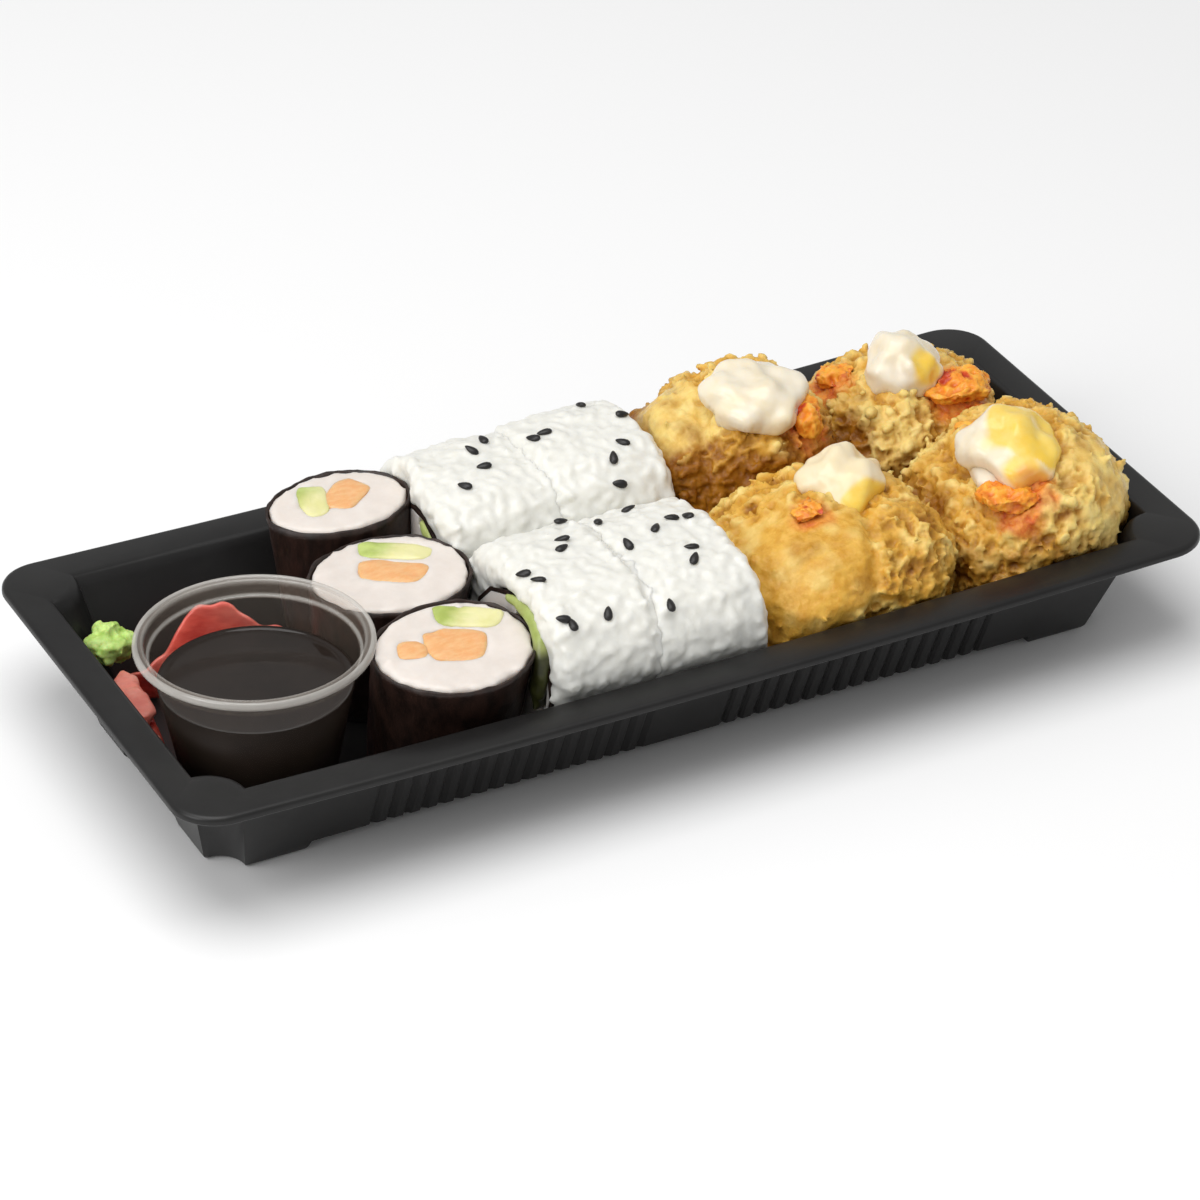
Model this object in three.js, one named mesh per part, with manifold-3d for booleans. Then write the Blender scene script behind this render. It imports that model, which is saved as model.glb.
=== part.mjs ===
// A takeaway sushi tray: black plastic tray, three maki, four rice rolls with sesame, four
// fried rolls with mayonnaise and chilli paste, a cup of soy sauce, wasabi and pickled ginger.
// Millimetres, +Z up. The origin is the centre of the rectangle that the tray's feet stand on,
// X runs along the tray and the sauce cup is at its -X end.
import * as THREE from 'three';
import { ImprovedNoise } from 'three/addons/math/ImprovedNoise.js';
import { mergeVertices } from 'three/addons/utils/BufferGeometryUtils.js';
import Module from 'manifold-3d';

const wasm = await Module();
wasm.setup();

// Tray: a flat rim with a turned-down lip round a cavity whose corners bulge inwards.
const RIM_LENGTH = 243;
const RIM_WIDTH = 109;
const RIM_TOP = 29;
const RIM_CORNER = 10;
const RIM_SAG = 1.6;
const LIP_REACH = 1.2;
const LIP_DROP = 1.9;
const SHEET = 0.8;
const WALL = 1.3;
const OPENING_LENGTH = 227;
const OPENING_WIDTH = 91;
const OPENING_BULGE = 8.3;
const FLOOR_LENGTH = 214.4;
const FLOOR_WIDTH = 68.5;
const FLOOR_BULGE = 6.6;
const FLOOR_TOP = 3.7;
const FLOOR_FILLET = 1.5;
const FOOT_HEIGHT = 2.9;
const FOOT_EDGE = 1.2;
const FOOT_START_X = 88.5;
const FOOT_START_Y = 16;
const FOOT_SLOPE = 2;
const LONG_SIDE_STEPS = 6;
const CORNER_STEPS = 5;

// Ribs: each long wall has two fluted stretches with a plain one between them.
const RIB_PITCH = 3.9;
const RIBS = 16;
const RIBS_START = 10.2;
const GROOVE_WIDTH = 1.8;
const GROOVE_DEPTH = 0.9;
const GROOVE_TOP = 25.4;

// Touching pieces keep this gap, and food stands that far above the floor.
const GAP = 0.3;
const FOOD_FLOOR = FLOOR_TOP + GAP;

// Sauce cup: clear plastic, a rolled rim over a stacking ledge and a tapered body.
const CUP_X = -87.8;
const CUP_Y = -11.7;
const CUP_HEIGHT = 36;
const CUP_RIM_RADIUS = 25.4;
const CUP_RIM_DEPTH = 1.8;
const CUP_LEDGE_DEPTH = 4.4;
const CUP_LEDGE_RADIUS = 22.4;
const CUP_STEP = 1.1;
const CUP_BASE_RADIUS = 15.6;
const CUP_WALL = 0.7;
const SOY_DEPTH_BELOW_RIM = 10.9;
const ROUND_STEPS = 28;

// Maki: a cylinder of rice in a sheet of seaweed, standing with a cut face up.
const MAKI_STEPS = 24;
const NORI = 0.7;
const MAKI_BUMP = 0.3;
const BAR_LIFT = 0.9;

// Rice rolls: rice outside, with sesame, and a seaweed ring round the filling.
const ROLL_STEPS = 24;
const ROLL_BUMP = 0.3;
const ROLL_SQUARENESS = 3.4;
const CORE_STEPS = 14;
const SEED = [1.75, 0.95, 0.65];
const SEED_SUNK = 0.15;

const BLACK_PLASTIC = { color: 0x232325, roughness: 0.45, metalness: 0 };
const CLEAR_PLASTIC = { color: 0xc9c5bd, roughness: 0.2, metalness: 0 };
const SOY = { color: 0x1d120c, roughness: 0.08, metalness: 0 };
const NORI_FINISH = { color: 0x1d1812, roughness: 0.7, metalness: 0 };
const RICE = { color: 0xf1ede2, roughness: 0.55, metalness: 0 };
const SALMON = { color: 0xf3a670, roughness: 0.4, metalness: 0 };
const AVOCADO = { color: 0xdbe08c, roughness: 0.45, metalness: 0 };
const CRUST = { color: 0xc8974a, roughness: 0.6, metalness: 0 };
const MAYONNAISE = { color: 0xf7eed2, roughness: 0.3, metalness: 0 };
const CHILLI = { color: 0xdd6a2a, roughness: 0.35, metalness: 0 };
const WASABI = { color: 0x9fc060, roughness: 0.65, metalness: 0 };
const GINGER = { color: 0xd0665a, roughness: 0.35, metalness: 0 };

const { lerp, clamp } = THREE.MathUtils;
const noise = new ImprovedNoise();
const tray = new THREE.Group();

function place(name, geometry, finish) {
  geometry.computeVertexNormals();
  const mesh = new THREE.Mesh(geometry, new THREE.MeshStandardMaterial(finish));
  mesh.name = name;
  tray.add(mesh);
}

// A closed body through rings of points that all have the same number of points. The first and
// the last ring are closed by fans round their middle.
function loft(rings) {
  const count = rings[0].length;
  const points = rings.flat();
  const first = points.length;
  for (const ring of [rings[0], rings.at(-1)]) {
    const middle = new THREE.Vector3();
    ring.forEach((point) => middle.addScaledVector(point, 1 / count));
    points.push(middle);
  }
  const index = [];
  for (let i = 0; i < count; i += 1) {
    const next = (i + 1) % count;
    for (let level = 0; level < rings.length - 1; level += 1) {
      const low = level * count;
      const high = low + count;
      index.push(low + i, low + next, high + next);
      index.push(low + i, high + next, high + i);
    }
    const last = (rings.length - 1) * count;
    index.push(first, next, i);
    index.push(first + 1, last + i, last + next);
  }
  const geometry = new THREE.BufferGeometry().setFromPoints(points);
  geometry.setIndex(index);
  return geometry;
}

// Merges shared vertices and drops the slivers that a pole leaves.
function closed(source) {
  const bare = source.clone();
  bare.deleteAttribute('normal');
  bare.deleteAttribute('uv');
  const geometry = mergeVertices(bare);
  const old = Array.from(geometry.index.array);
  const kept = [];
  for (let i = 0; i < old.length; i += 3) {
    const [a, b, c] = old.slice(i, i + 3);
    if (a !== b && b !== c && c !== a) kept.push(a, b, c);
  }
  geometry.setIndex(kept);
  return geometry;
}

function solidOf(geometry) {
  const body = closed(geometry);
  const vertProperties = new Float32Array(body.attributes.position.array);
  const triVerts = new Uint32Array(body.index.array);
  return new wasm.Manifold(new wasm.Mesh({ numProp: 3, vertProperties, triVerts }));
}

function geometryOf(solid) {
  const mesh = solid.getMesh();
  const geometry = new THREE.BufferGeometry();
  geometry.setAttribute('position', new THREE.BufferAttribute(mesh.vertProperties, 3));
  geometry.setIndex(Array.from(mesh.triVerts));
  return geometry;
}

function join(body, others) {
  return others.reduce((whole, other) => whole.add(other), body);
}

// Cuts the others out of the body and drops the scraps that come loose.
function carve(body, others) {
  const rest = others.reduce((whole, other) => whole.subtract(other), body);
  const pieces = rest.decompose();
  return pieces.reduce((a, b) => (b.getProperties().volume > a.getProperties().volume ? b : a));
}

function moved(geometry, move) {
  const body = closed(geometry);
  const position = body.attributes.position;
  const point = new THREE.Vector3();
  for (let i = 0; i < position.count; i += 1) {
    move(point.fromBufferAttribute(position, i));
    position.setXYZ(i, point.x, point.y, point.z);
  }
  return body;
}

// ---------------------------------------------------------------------------------- tray

// A rectangle, anticlockwise, whose corners are rounded off or bulge inwards.
function outline(halfLength, halfWidth, radius, bulging) {
  const points = [];
  const corners = [[1, 1], [-1, 1], [-1, -1], [1, -1]];
  corners.forEach(([sideX, sideY], quarter) => {
    const inset = bulging ? 0 : radius;
    const turn = bulging ? -1 : 1;
    const start = (quarter + (bulging ? -1 : 0)) * Math.PI / 2;
    for (let step = 0; step <= CORNER_STEPS; step += 1) {
      const angle = start + turn * step / CORNER_STEPS * Math.PI / 2;
      const x = sideX * (halfLength - inset) + radius * Math.cos(angle);
      const y = sideY * (halfWidth - inset) + radius * Math.sin(angle);
      points.push(new THREE.Vector2(x, y));
    }
    if (sideX === sideY) {
      for (let step = 1; step < LONG_SIDE_STEPS; step += 1) {
        const x = sideX * (halfLength - radius) * (1 - 2 * step / LONG_SIDE_STEPS);
        points.push(new THREE.Vector2(x, sideY * halfWidth));
      }
    }
  });
  return points;
}

// The share of the way up from the floor to the rim.
function rise(height) {
  return (height - FLOOR_TOP) / (RIM_TOP - FLOOR_TOP);
}

// The rim bows down along the long sides, between the stiff corners. Below it the walls are flat.
function level(points, height, sagging) {
  return points.map(({ x, y }) => {
    const sag = sagging ? RIM_SAG * (1 - (2 * x / RIM_LENGTH) ** 2) : 0;
    return new THREE.Vector3(x, y, height - sag);
  });
}

function cavityRing(height, margin, sagging) {
  const halfLength = lerp(FLOOR_LENGTH, OPENING_LENGTH, rise(height)) / 2;
  const halfWidth = lerp(FLOOR_WIDTH, OPENING_WIDTH, rise(height)) / 2;
  const radius = lerp(FLOOR_BULGE, OPENING_BULGE, rise(height));
  const points = outline(halfLength + margin, halfWidth + margin, radius, true);
  return level(points, height, sagging);
}

function rimRing(inset, height) {
  const halfLength = RIM_LENGTH / 2 - inset;
  const halfWidth = RIM_WIDTH / 2 - inset;
  return level(outline(halfLength, halfWidth, RIM_CORNER - inset, false), height, true);
}

// The space between the feet: a block with sloping ends.
function underFloor(halfLength, halfWidth) {
  const slab = new THREE.BoxGeometry(2 * halfLength, 2 * halfWidth, FOOT_HEIGHT * 2);
  return solidOf(moved(slab, (point) => {
    const slope = point.z > 0 ? FOOT_SLOPE : 0;
    point.x -= Math.sign(point.x) * slope;
    point.y -= Math.sign(point.y) * slope;
  }));
}

// A V groove that follows the slope of the long wall, on the side given as 1 or -1.
function groove(x, side) {
  const rings = [0, GROOVE_TOP].map((height) => {
    const wallY = lerp(FLOOR_WIDTH, OPENING_WIDTH, rise(height)) / 2 + WALL;
    const bottom = new THREE.Vector3(x, side * (wallY - GROOVE_DEPTH), height);
    const mouth = [-1, 1].map((way) => (
      new THREE.Vector3(x + way * side * GROOVE_WIDTH / 2, side * (wallY + GAP), height)));
    return [bottom, mouth[1], mouth[0]];
  });
  return solidOf(loft(rings));
}

function buildTray() {
  const outside = solidOf(loft([
    cavityRing(0, WALL - FOOT_EDGE, false),
    cavityRing(FOOT_EDGE, WALL, false),
    cavityRing(GROOVE_TOP + 0.2, WALL, false),
    cavityRing(RIM_TOP - SHEET / 2, WALL, true),
  ]));
  const rim = solidOf(loft([
    rimRing(LIP_REACH + SHEET, RIM_TOP - SHEET),
    rimRing(SHEET, RIM_TOP - LIP_DROP),
    rimRing(0, RIM_TOP - LIP_DROP),
    rimRing(0.1, RIM_TOP - SHEET),
    rimRing(LIP_REACH / 2, RIM_TOP - SHEET / 4),
    rimRing(LIP_REACH, RIM_TOP),
  ]));
  const cavity = solidOf(loft([
    cavityRing(FLOOR_TOP, -FLOOR_FILLET, false),
    cavityRing(FLOOR_TOP + FLOOR_FILLET, 0, false),
    cavityRing(GROOVE_TOP + 0.2, 0, false),
    cavityRing(RIM_TOP - SHEET, 0, true),
    cavityRing(RIM_TOP + SHEET, SHEET, true),
  ]));
  const cuts = [
    cavity,
    underFloor(FOOT_START_X, RIM_WIDTH),
    underFloor(RIM_LENGTH, FOOT_START_Y),
  ];
  for (let rib = 0; rib <= RIBS; rib += 1) {
    const x = RIBS_START + rib * RIB_PITCH;
    cuts.push(groove(x, 1), groove(-x, 1), groove(x, -1), groove(-x, -1));
  }
  return geometryOf(carve(outside.add(rim), cuts));
}

place('tray', buildTray(), BLACK_PLASTIC);

// Soft food takes the slope of the cavity that it is pushed against.
function insideTray(point, margin) {
  point.z = Math.max(point.z, FOOD_FLOOR);
  const up = rise(point.z);
  const fillet = Math.max(0, FLOOR_TOP + FLOOR_FILLET - point.z) + GAP + margin;
  const limitX = lerp(FLOOR_LENGTH, OPENING_LENGTH, up) / 2 - fillet;
  const limitY = lerp(FLOOR_WIDTH, OPENING_WIDTH, Math.min(up, 1)) / 2 - fillet;
  point.x = clamp(point.x, -limitX, limitX);
  point.y = clamp(point.y, -limitY, limitY);
  const corner = new THREE.Vector2(Math.sign(point.x) * limitX, Math.sign(point.y) * limitY);
  const away = new THREE.Vector2(point.x, point.y).sub(corner);
  const bulge = OPENING_BULGE + WALL + margin;
  if (away.length() < bulge) {
    away.setLength(bulge);
    point.x = corner.x + away.x;
    point.y = corner.y + away.y;
  }
}

// ---------------------------------------------------------------------------- sauce cup

function turned(profile, x, y, z) {
  const points = profile.map(([radius, height]) => new THREE.Vector2(radius, height));
  const geometry = new THREE.LatheGeometry(points, ROUND_STEPS);
  return closed(geometry.rotateX(Math.PI / 2).translate(x, y, z));
}

const ledgeHeight = CUP_HEIGHT - CUP_LEDGE_DEPTH;
const underRim = CUP_HEIGHT - CUP_RIM_DEPTH;
const soyHeight = CUP_HEIGHT - SOY_DEPTH_BELOW_RIM;

// Inner radius of the tapered body at a height above the cup's base.
function cupRadius(height) {
  return lerp(CUP_BASE_RADIUS, CUP_LEDGE_RADIUS - CUP_WALL, height / ledgeHeight);
}

place('sauce_cup', turned([
  [0, 0],
  [CUP_BASE_RADIUS, 0],
  [cupRadius(CUP_WALL) + CUP_WALL, CUP_WALL],
  [CUP_LEDGE_RADIUS, ledgeHeight],
  [CUP_LEDGE_RADIUS + CUP_STEP, ledgeHeight + 0.4],
  [CUP_LEDGE_RADIUS + CUP_STEP, underRim],
  [CUP_RIM_RADIUS - 0.1, underRim],
  [CUP_RIM_RADIUS, CUP_HEIGHT - 0.8],
  [CUP_RIM_RADIUS - 1, CUP_HEIGHT],
  [CUP_LEDGE_RADIUS + 0.5, CUP_HEIGHT - 0.5],
  [CUP_LEDGE_RADIUS + 0.1, ledgeHeight + 0.9],
  [CUP_LEDGE_RADIUS - CUP_WALL, ledgeHeight + 0.6],
  [cupRadius(CUP_WALL), CUP_WALL],
  [0, CUP_WALL],
  [0, 0],
], CUP_X, CUP_Y, FOOD_FLOOR), CLEAR_PLASTIC);

place('soy_sauce', turned([
  [0, CUP_WALL + GAP],
  [cupRadius(CUP_WALL) - GAP, CUP_WALL + GAP],
  [cupRadius(soyHeight) - GAP, soyHeight],
  [0, soyHeight],
], CUP_X, CUP_Y, FOOD_FLOOR), SOY);

// Soft food gives way to the cup.
function besideCup(point, margin) {
  const height = point.z - FOOD_FLOOR;
  const wall = height < ledgeHeight ? cupRadius(height) + CUP_WALL : CUP_LEDGE_RADIUS + CUP_STEP;
  const away = new THREE.Vector2(point.x - CUP_X, point.y - CUP_Y);
  if (away.length() < wall + GAP + margin) {
    away.setLength(wall + GAP + margin);
    point.x = CUP_X + away.x;
    point.y = CUP_Y + away.y;
  }
}

// --------------------------------------------------------------------------------- maki

// top is the middle of the cut face and foot the middle at the floor, with half sizes along X
// and Y; tilt is how far the face rises for each millimetre along Y. A filling is
// [kind, x, y, half length, half width, turn in degrees] on the face.
const MAKI = [
  { top: [-48.5, 32.3, 38.3], foot: [-48.2, 26.9], topHalf: [16.8, 11.8], footHalf: [14.5, 6.8],
    tilt: 0.04,
    fillings: [['avocado', -4.9, 2.2, 5.1, 2.4, 75], ['salmon', 2.6, 1.6, 5.1, 3.2, 40]] },
  { top: [-49.9, 2.9, 36.6], foot: [-49.4, 7.4], topHalf: [18, 15.8], footHalf: [15.5, 11.8],
    tilt: 0,
    fillings: [['avocado', 4.4, 7.6, 7.4, 2.4, -33], ['salmon', 0.6, 0.3, 6.8, 3.4, -33]] },
  { top: [-50.1, -28.9, 36.6], foot: [-49.8, -19.6], topHalf: [17.8, 14.8],
    footHalf: [15.5, 14.1], tilt: 0.16,
    fillings: [['avocado', 6.4, 7.2, 6.6, 2.4, -25], ['salmon', 0.4, 0, 5.8, 4.3, -20],
      ['salmon_strip', -9, 1.6, 2.4, 2, -20]] },
];

// A point of the face, carried down the leaning roll to a share of its height.
function makiPoint(roll, faceX, faceY, share, margin, lift) {
  const [topX, topY, topZ] = roll.top;
  const [footX, footY] = roll.foot;
  const height = topZ + roll.tilt * faceY - FOOD_FLOOR;
  const point = new THREE.Vector3(
    lerp(footX, topX, share) + faceX * lerp(roll.footHalf[0] / roll.topHalf[0], 1, share),
    lerp(footY, topY, share) + faceY * lerp(roll.footHalf[1] / roll.topHalf[1], 1, share),
    FOOD_FLOOR + share * height + lift,
  );
  insideTray(point, margin);
  besideCup(point, margin);
  return point;
}

function faceOutline(roll, inset, scale = 1) {
  const [halfX, halfY] = roll.topHalf;
  return Array.from({ length: MAKI_STEPS }, (_, step) => {
    const angle = step / MAKI_STEPS * 2 * Math.PI;
    const uneven = 1 + 0.012 * Math.sin(2 * angle + halfY) + 0.01 * Math.sin(3 * angle + halfX);
    const x = (halfX - inset) * uneven * Math.cos(angle) * scale;
    const y = (halfY - inset) * uneven * Math.sin(angle) * scale;
    return [x, y];
  });
}

function column(roll, outlinePoints, margin, lift) {
  return [0, 1].map((share) => (
    outlinePoints.map(([x, y]) => makiPoint(roll, x, y, share, margin, share * lift))));
}

// The same column with straight ends run on up and down, to cut with.
function runThrough(roll, outlinePoints, margin, lift) {
  const rings = column(roll, outlinePoints, margin, lift);
  const below = rings[0].map((point) => point.clone().setZ(0));
  const above = rings[1].map((point) => point.clone().setZ(point.z + roll.top[2]));
  return solidOf(loft([below, ...rings, above]));
}

// A filling's section is a rounded bar.
function barOutline([, midX, midY, halfLength, halfWidth, degrees], grow) {
  const turn = THREE.MathUtils.degToRad(degrees);
  const steps = 10;
  return Array.from({ length: steps }, (_, step) => {
    const angle = step / steps * 2 * Math.PI;
    const across = Math.abs(Math.cos(angle)) ** 0.6 * Math.sign(Math.cos(angle));
    const along = Math.abs(Math.sin(angle)) ** 0.6 * Math.sign(Math.sin(angle));
    const x = across * (halfLength + grow);
    const y = along * (halfWidth + grow);
    return [
      midX + x * Math.cos(turn) - y * Math.sin(turn),
      midY + x * Math.sin(turn) + y * Math.cos(turn),
    ];
  });
}

function grain(x, y, z, size) {
  return noise.noise(x / size, y / size, z / size);
}

function buildMaki(roll, name) {
  const sheet = solidOf(loft(column(roll, faceOutline(roll, 0), 0, 0)));
  const hollow = runThrough(roll, faceOutline(roll, NORI), NORI, 0);
  place(`${name}_nori`, geometryOf(carve(sheet, [hollow])), NORI_FINISH);

  const inset = NORI + GAP;
  const rice = column(roll, faceOutline(roll, inset), inset, 0.3);
  for (const scale of [0.8, 0.5, 0.22]) {
    rice.push(faceOutline(roll, inset, scale).map(([x, y]) => {
      const bump = MAKI_BUMP * (1 + 2 * grain(x, y, roll.top[0], 2.3));
      return makiPoint(roll, x, y, 1, inset, 0.3 + bump);
    }));
  }
  const holes = roll.fillings.map((filling) => (
    runThrough(roll, barOutline(filling, GAP), 0, BAR_LIFT)));
  place(`${name}_rice`, geometryOf(carve(solidOf(loft(rice)), holes)), RICE);

  for (const filling of roll.fillings) {
    const [kind] = filling;
    const bar = loft(column(roll, barOutline(filling, 0), 0, BAR_LIFT));
    place(`${name}_${kind}`, bar, kind === 'avocado' ? AVOCADO : SALMON);
  }
}

MAKI.forEach((roll, i) => buildMaki(roll, `maki_${i + 1}`));

// The rice rolls' ends are dented by the maki that they stand against.
const makiGrown = MAKI.map((roll) => runThrough(roll, faceOutline(roll, -GAP), 0, 0));

// --------------------------------------------------------------------------- rice rolls

// Each piece runs from one cut end to the other along X, between two limits along Y. An end is
// [x at the floor, slant along X per mm of height]. A seed is [share of the length, degrees
// round the roll from the +Y side over the top, its own turn]. core is the middle of the
// seaweed ring and its half sizes, flare how much wider the ring is at the left end, and
// squeezed how far the avocado stands out of that end.
const RICE_ROLLS = [
  { y: [4.1, 45], top: 44, ends: [[-35.2, 0.03], [-8.3, 0]], rounding: [2.2, 2.4],
    core: [22.5, 24.6, 13.2, 13], flare: 0, squeezed: 0,
    seeds: [[0.8, 69, 90], [0.63, 77, 130], [0.61, 97, 170], [0.34, 110, 130]] },
  { y: [4.1, 45], top: 45.4, ends: [[-7.7, 0], [21.2, 0]], rounding: [3, 4],
    core: [22.5, 24.8, 13.2, 13.2], flare: 0, squeezed: 0,
    seeds: [[0.67, 62, 90], [0.12, 85, 130], [0.22, 84, 170], [0.7, 112, 130], [0.55, 122, 70],
      [0.51, 137, 160], [0.87, 85, 0]] },
  { y: [-45, 3.6], top: 44.8, ends: [[-34.8, 0.05], [-13.6, 0.12]], rounding: [3, 2],
    core: [-22.5, 24.4, 15.8, 13], flare: 2.6, squeezed: 2.6,
    seeds: [[0.65, 73, 150], [0.58, 80, 20], [0.82, 55, 10], [0.1, 92, 150], [0.15, 102, 140],
      [0.14, 129, 160], [0.2, 133, 90], [0.56, 132, 70]] },
  { y: [-45, 3.6], top: 44, ends: [[-13, 0.12], [17.4, 0]], rounding: [2, 4],
    core: [-22.5, 24.4, 15.8, 13], flare: 0, squeezed: 0,
    seeds: [[0.43, 56, 0], [0.08, 63, 50], [0.12, 89, 90], [0.44, 82, 50], [0.64, 76, 170],
      [0.77, 79, 110], [0.57, 105, 170], [0.51, 114, 50], [0.11, 135, 80]] },
];

// Carries a point of a piece's section to a share of its length.
function alongRoll(piece, share, y, z) {
  const [start, end] = piece.ends.map(([x, slant]) => x + slant * (z - FOOD_FLOOR));
  return new THREE.Vector3(lerp(start, end, share), y, z);
}

// A point at a share of the roll's length and an angle round it, shrunk by an inset.
function rollPoint(piece, share, angle, inset, bumpy) {
  const cos = Math.cos(angle);
  const sin = Math.sin(angle);
  const [near, far] = piece.y;
  const power = ROLL_SQUARENESS;
  const reach = (Math.abs(cos) ** power + Math.abs(sin) ** power) ** (-1 / power);
  const halfWidth = (far - near) / 2;
  const halfHeight = (piece.top - FOOD_FLOOR) / 2;
  const bump = bumpy ? 2 * ROLL_BUMP * grain(share * 20, cos * 20, sin * 20 + near, 3.1) : 0;
  const y = near + halfWidth + cos * (reach * (halfWidth - inset) + bump);
  const z = FOOD_FLOOR + halfHeight + sin * (reach * (halfHeight - inset) + bump);
  const point = alongRoll(piece, share, clamp(y, near, far), z);
  insideTray(point, 0);
  return point;
}

function rollRing(piece, share, inset) {
  return Array.from({ length: ROLL_STEPS }, (_, step) => (
    rollPoint(piece, share, step / ROLL_STEPS * 2 * Math.PI, inset, true)));
}

// The ring narrows from its flare at the left end to its own size at this share of the length.
const FLARE_END = 0.3;

function corePoint(piece, share, angle, inset) {
  const [midY, midZ, halfY, halfZ] = piece.core;
  const wider = piece.flare * clamp(1 - share / FLARE_END, 0, 1) - inset;
  const y = midY + Math.cos(angle) * (halfY + wider);
  const z = midZ + Math.sin(angle) * (halfZ + wider);
  return alongRoll(piece, share, y, z);
}

function coreBar(piece, inset, overrun) {
  return loft([-overrun, 0, FLARE_END, 1 + overrun].map((share) => (
    Array.from({ length: CORE_STEPS }, (_, step) => (
      corePoint(piece, share, step / CORE_STEPS * 2 * Math.PI, inset))))));
}

// The avocado is a crescent under the seaweed, from the top of the ring down its -Y side.
const CRESCENT_FROM = 95;
const CRESCENT_TO = 190;
const CRESCENT_THICK = 4;
const CRESCENT_STEPS = 5;

function crescent(piece, overrun, grow) {
  const length = piece.ends[1][0] - piece.ends[0][0];
  const outer = [];
  const inner = [];
  const spread = grow * 5;
  for (let step = 0; step <= CRESCENT_STEPS; step += 1) {
    const share = step / CRESCENT_STEPS;
    const degrees = lerp(CRESCENT_FROM - spread, CRESCENT_TO + spread, share);
    const angle = THREE.MathUtils.degToRad(degrees);
    const thick = CRESCENT_THICK * (0.35 + 0.65 * Math.sin(share * Math.PI));
    outer.push([angle, NORI + 3 * GAP - 4 * grow]);
    inner.unshift([angle, NORI + 3 * GAP + thick + grow]);
  }
  const start = -overrun - piece.squeezed / length;
  return loft([start, FLARE_END, 1 + overrun].map((share) => (
    [...outer, ...inner].map(([angle, inset]) => corePoint(piece, share, angle, inset)))));
}

function buildRiceRoll(piece, name) {
  const length = piece.ends[1][0] - piece.ends[0][0];
  const [first, last] = piece.rounding.map((edge) => edge / length);
  const body = [
    rollRing(piece, 0, piece.rounding[0]),
    rollRing(piece, first / 2, piece.rounding[0] * 0.15),
    ...[0.35, 0.65].map((share) => rollRing(piece, share, 0)),
    rollRing(piece, 1 - last / 2, piece.rounding[1] * 0.15),
    rollRing(piece, 1, piece.rounding[1]),
  ];
  const grains = piece.seeds.map(([share, degrees, turn]) => {
    const angle = THREE.MathUtils.degToRad(degrees);
    const spot = rollPoint(piece, share, angle, SEED_SUNK, false);
    const ahead = rollPoint(piece, share, angle + 0.05, SEED_SUNK, false);
    const tilt = Math.atan2(spot.z - ahead.z, spot.y - ahead.y);
    const tipped = new THREE.Euler(tilt, 0, THREE.MathUtils.degToRad(turn), 'XZY');
    const seed = new THREE.IcosahedronGeometry(1, 0).scale(...SEED);
    seed.applyMatrix4(new THREE.Matrix4().makeRotationFromEuler(tipped));
    return solidOf(seed.translate(spot.x, spot.y, spot.z));
  });
  const bore = solidOf(coreBar(piece, -GAP, 0.3));
  const shell = carve(solidOf(loft(body)), [bore, ...makiGrown]);
  place(`${name}_rice`, geometryOf(join(shell, grains)), RICE);

  const hollow = solidOf(coreBar(piece, NORI, 0.3));
  const sheet = carve(solidOf(coreBar(piece, 0, 0)), [hollow, ...makiGrown]);
  place(`${name}_nori`, geometryOf(sheet), NORI_FINISH);
  const notch = solidOf(crescent(piece, 0.3, GAP));
  const heart = carve(solidOf(coreBar(piece, NORI + GAP, 0)), [notch, ...makiGrown]);
  place(`${name}_core_rice`, geometryOf(heart), RICE);
  const avocado = carve(solidOf(crescent(piece, 0, 0)), makiGrown);
  place(`${name}_avocado`, geometryOf(avocado), AVOCADO);
}

RICE_ROLLS.forEach((piece, i) => buildRiceRoll(piece, `rice_roll_${i + 1}`));

// -------------------------------------------------------------------------- fried rolls

// A crumb-coated lump inside limits along X and Y. top is its height at the left and at the
// right. waist is where two lobes meet, as a place along X and a depth.
const FRIED = [
  { x: [22, 64.6], y: [4.2, 44.6], top: [47.6, 47.6], waist: [33, 2.4], power: 2.7,
    mayo: { x: 45.6, y: 19.2, z: 47.2, half: [11.4, 10.6, 5] } },
  { x: [65.2, 107.6], y: [5, 44.6], top: [40, 41], waist: [88, 0.8], power: 2.6,
    mayo: { x: 86, y: 22.3, z: 41.2, half: [8.3, 7.7, 8] } },
  { x: [17.9, 67], y: [-44.6, 3.2], top: [39.6, 43.4], waist: [51, 2.4], power: 2.9,
    mayo: { x: 49.8, y: -14.4, z: 41.6, half: [9.4, 8.2, 6.6] } },
  { x: [67.6, 112.4], y: [-44.6, 4], top: [38.5, 46.4], waist: [78, 1.6], power: 2.8,
    mayo: { x: 87.5, y: -22.4, z: 43.6, half: [10.4, 11, 7.8] } },
];
const CRUST_DETAIL = 4;
const CRUST_SWELL = 1.2;
const CRAG_COARSE = 1.5;
const CRAG_FINE = 0.6;

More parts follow.
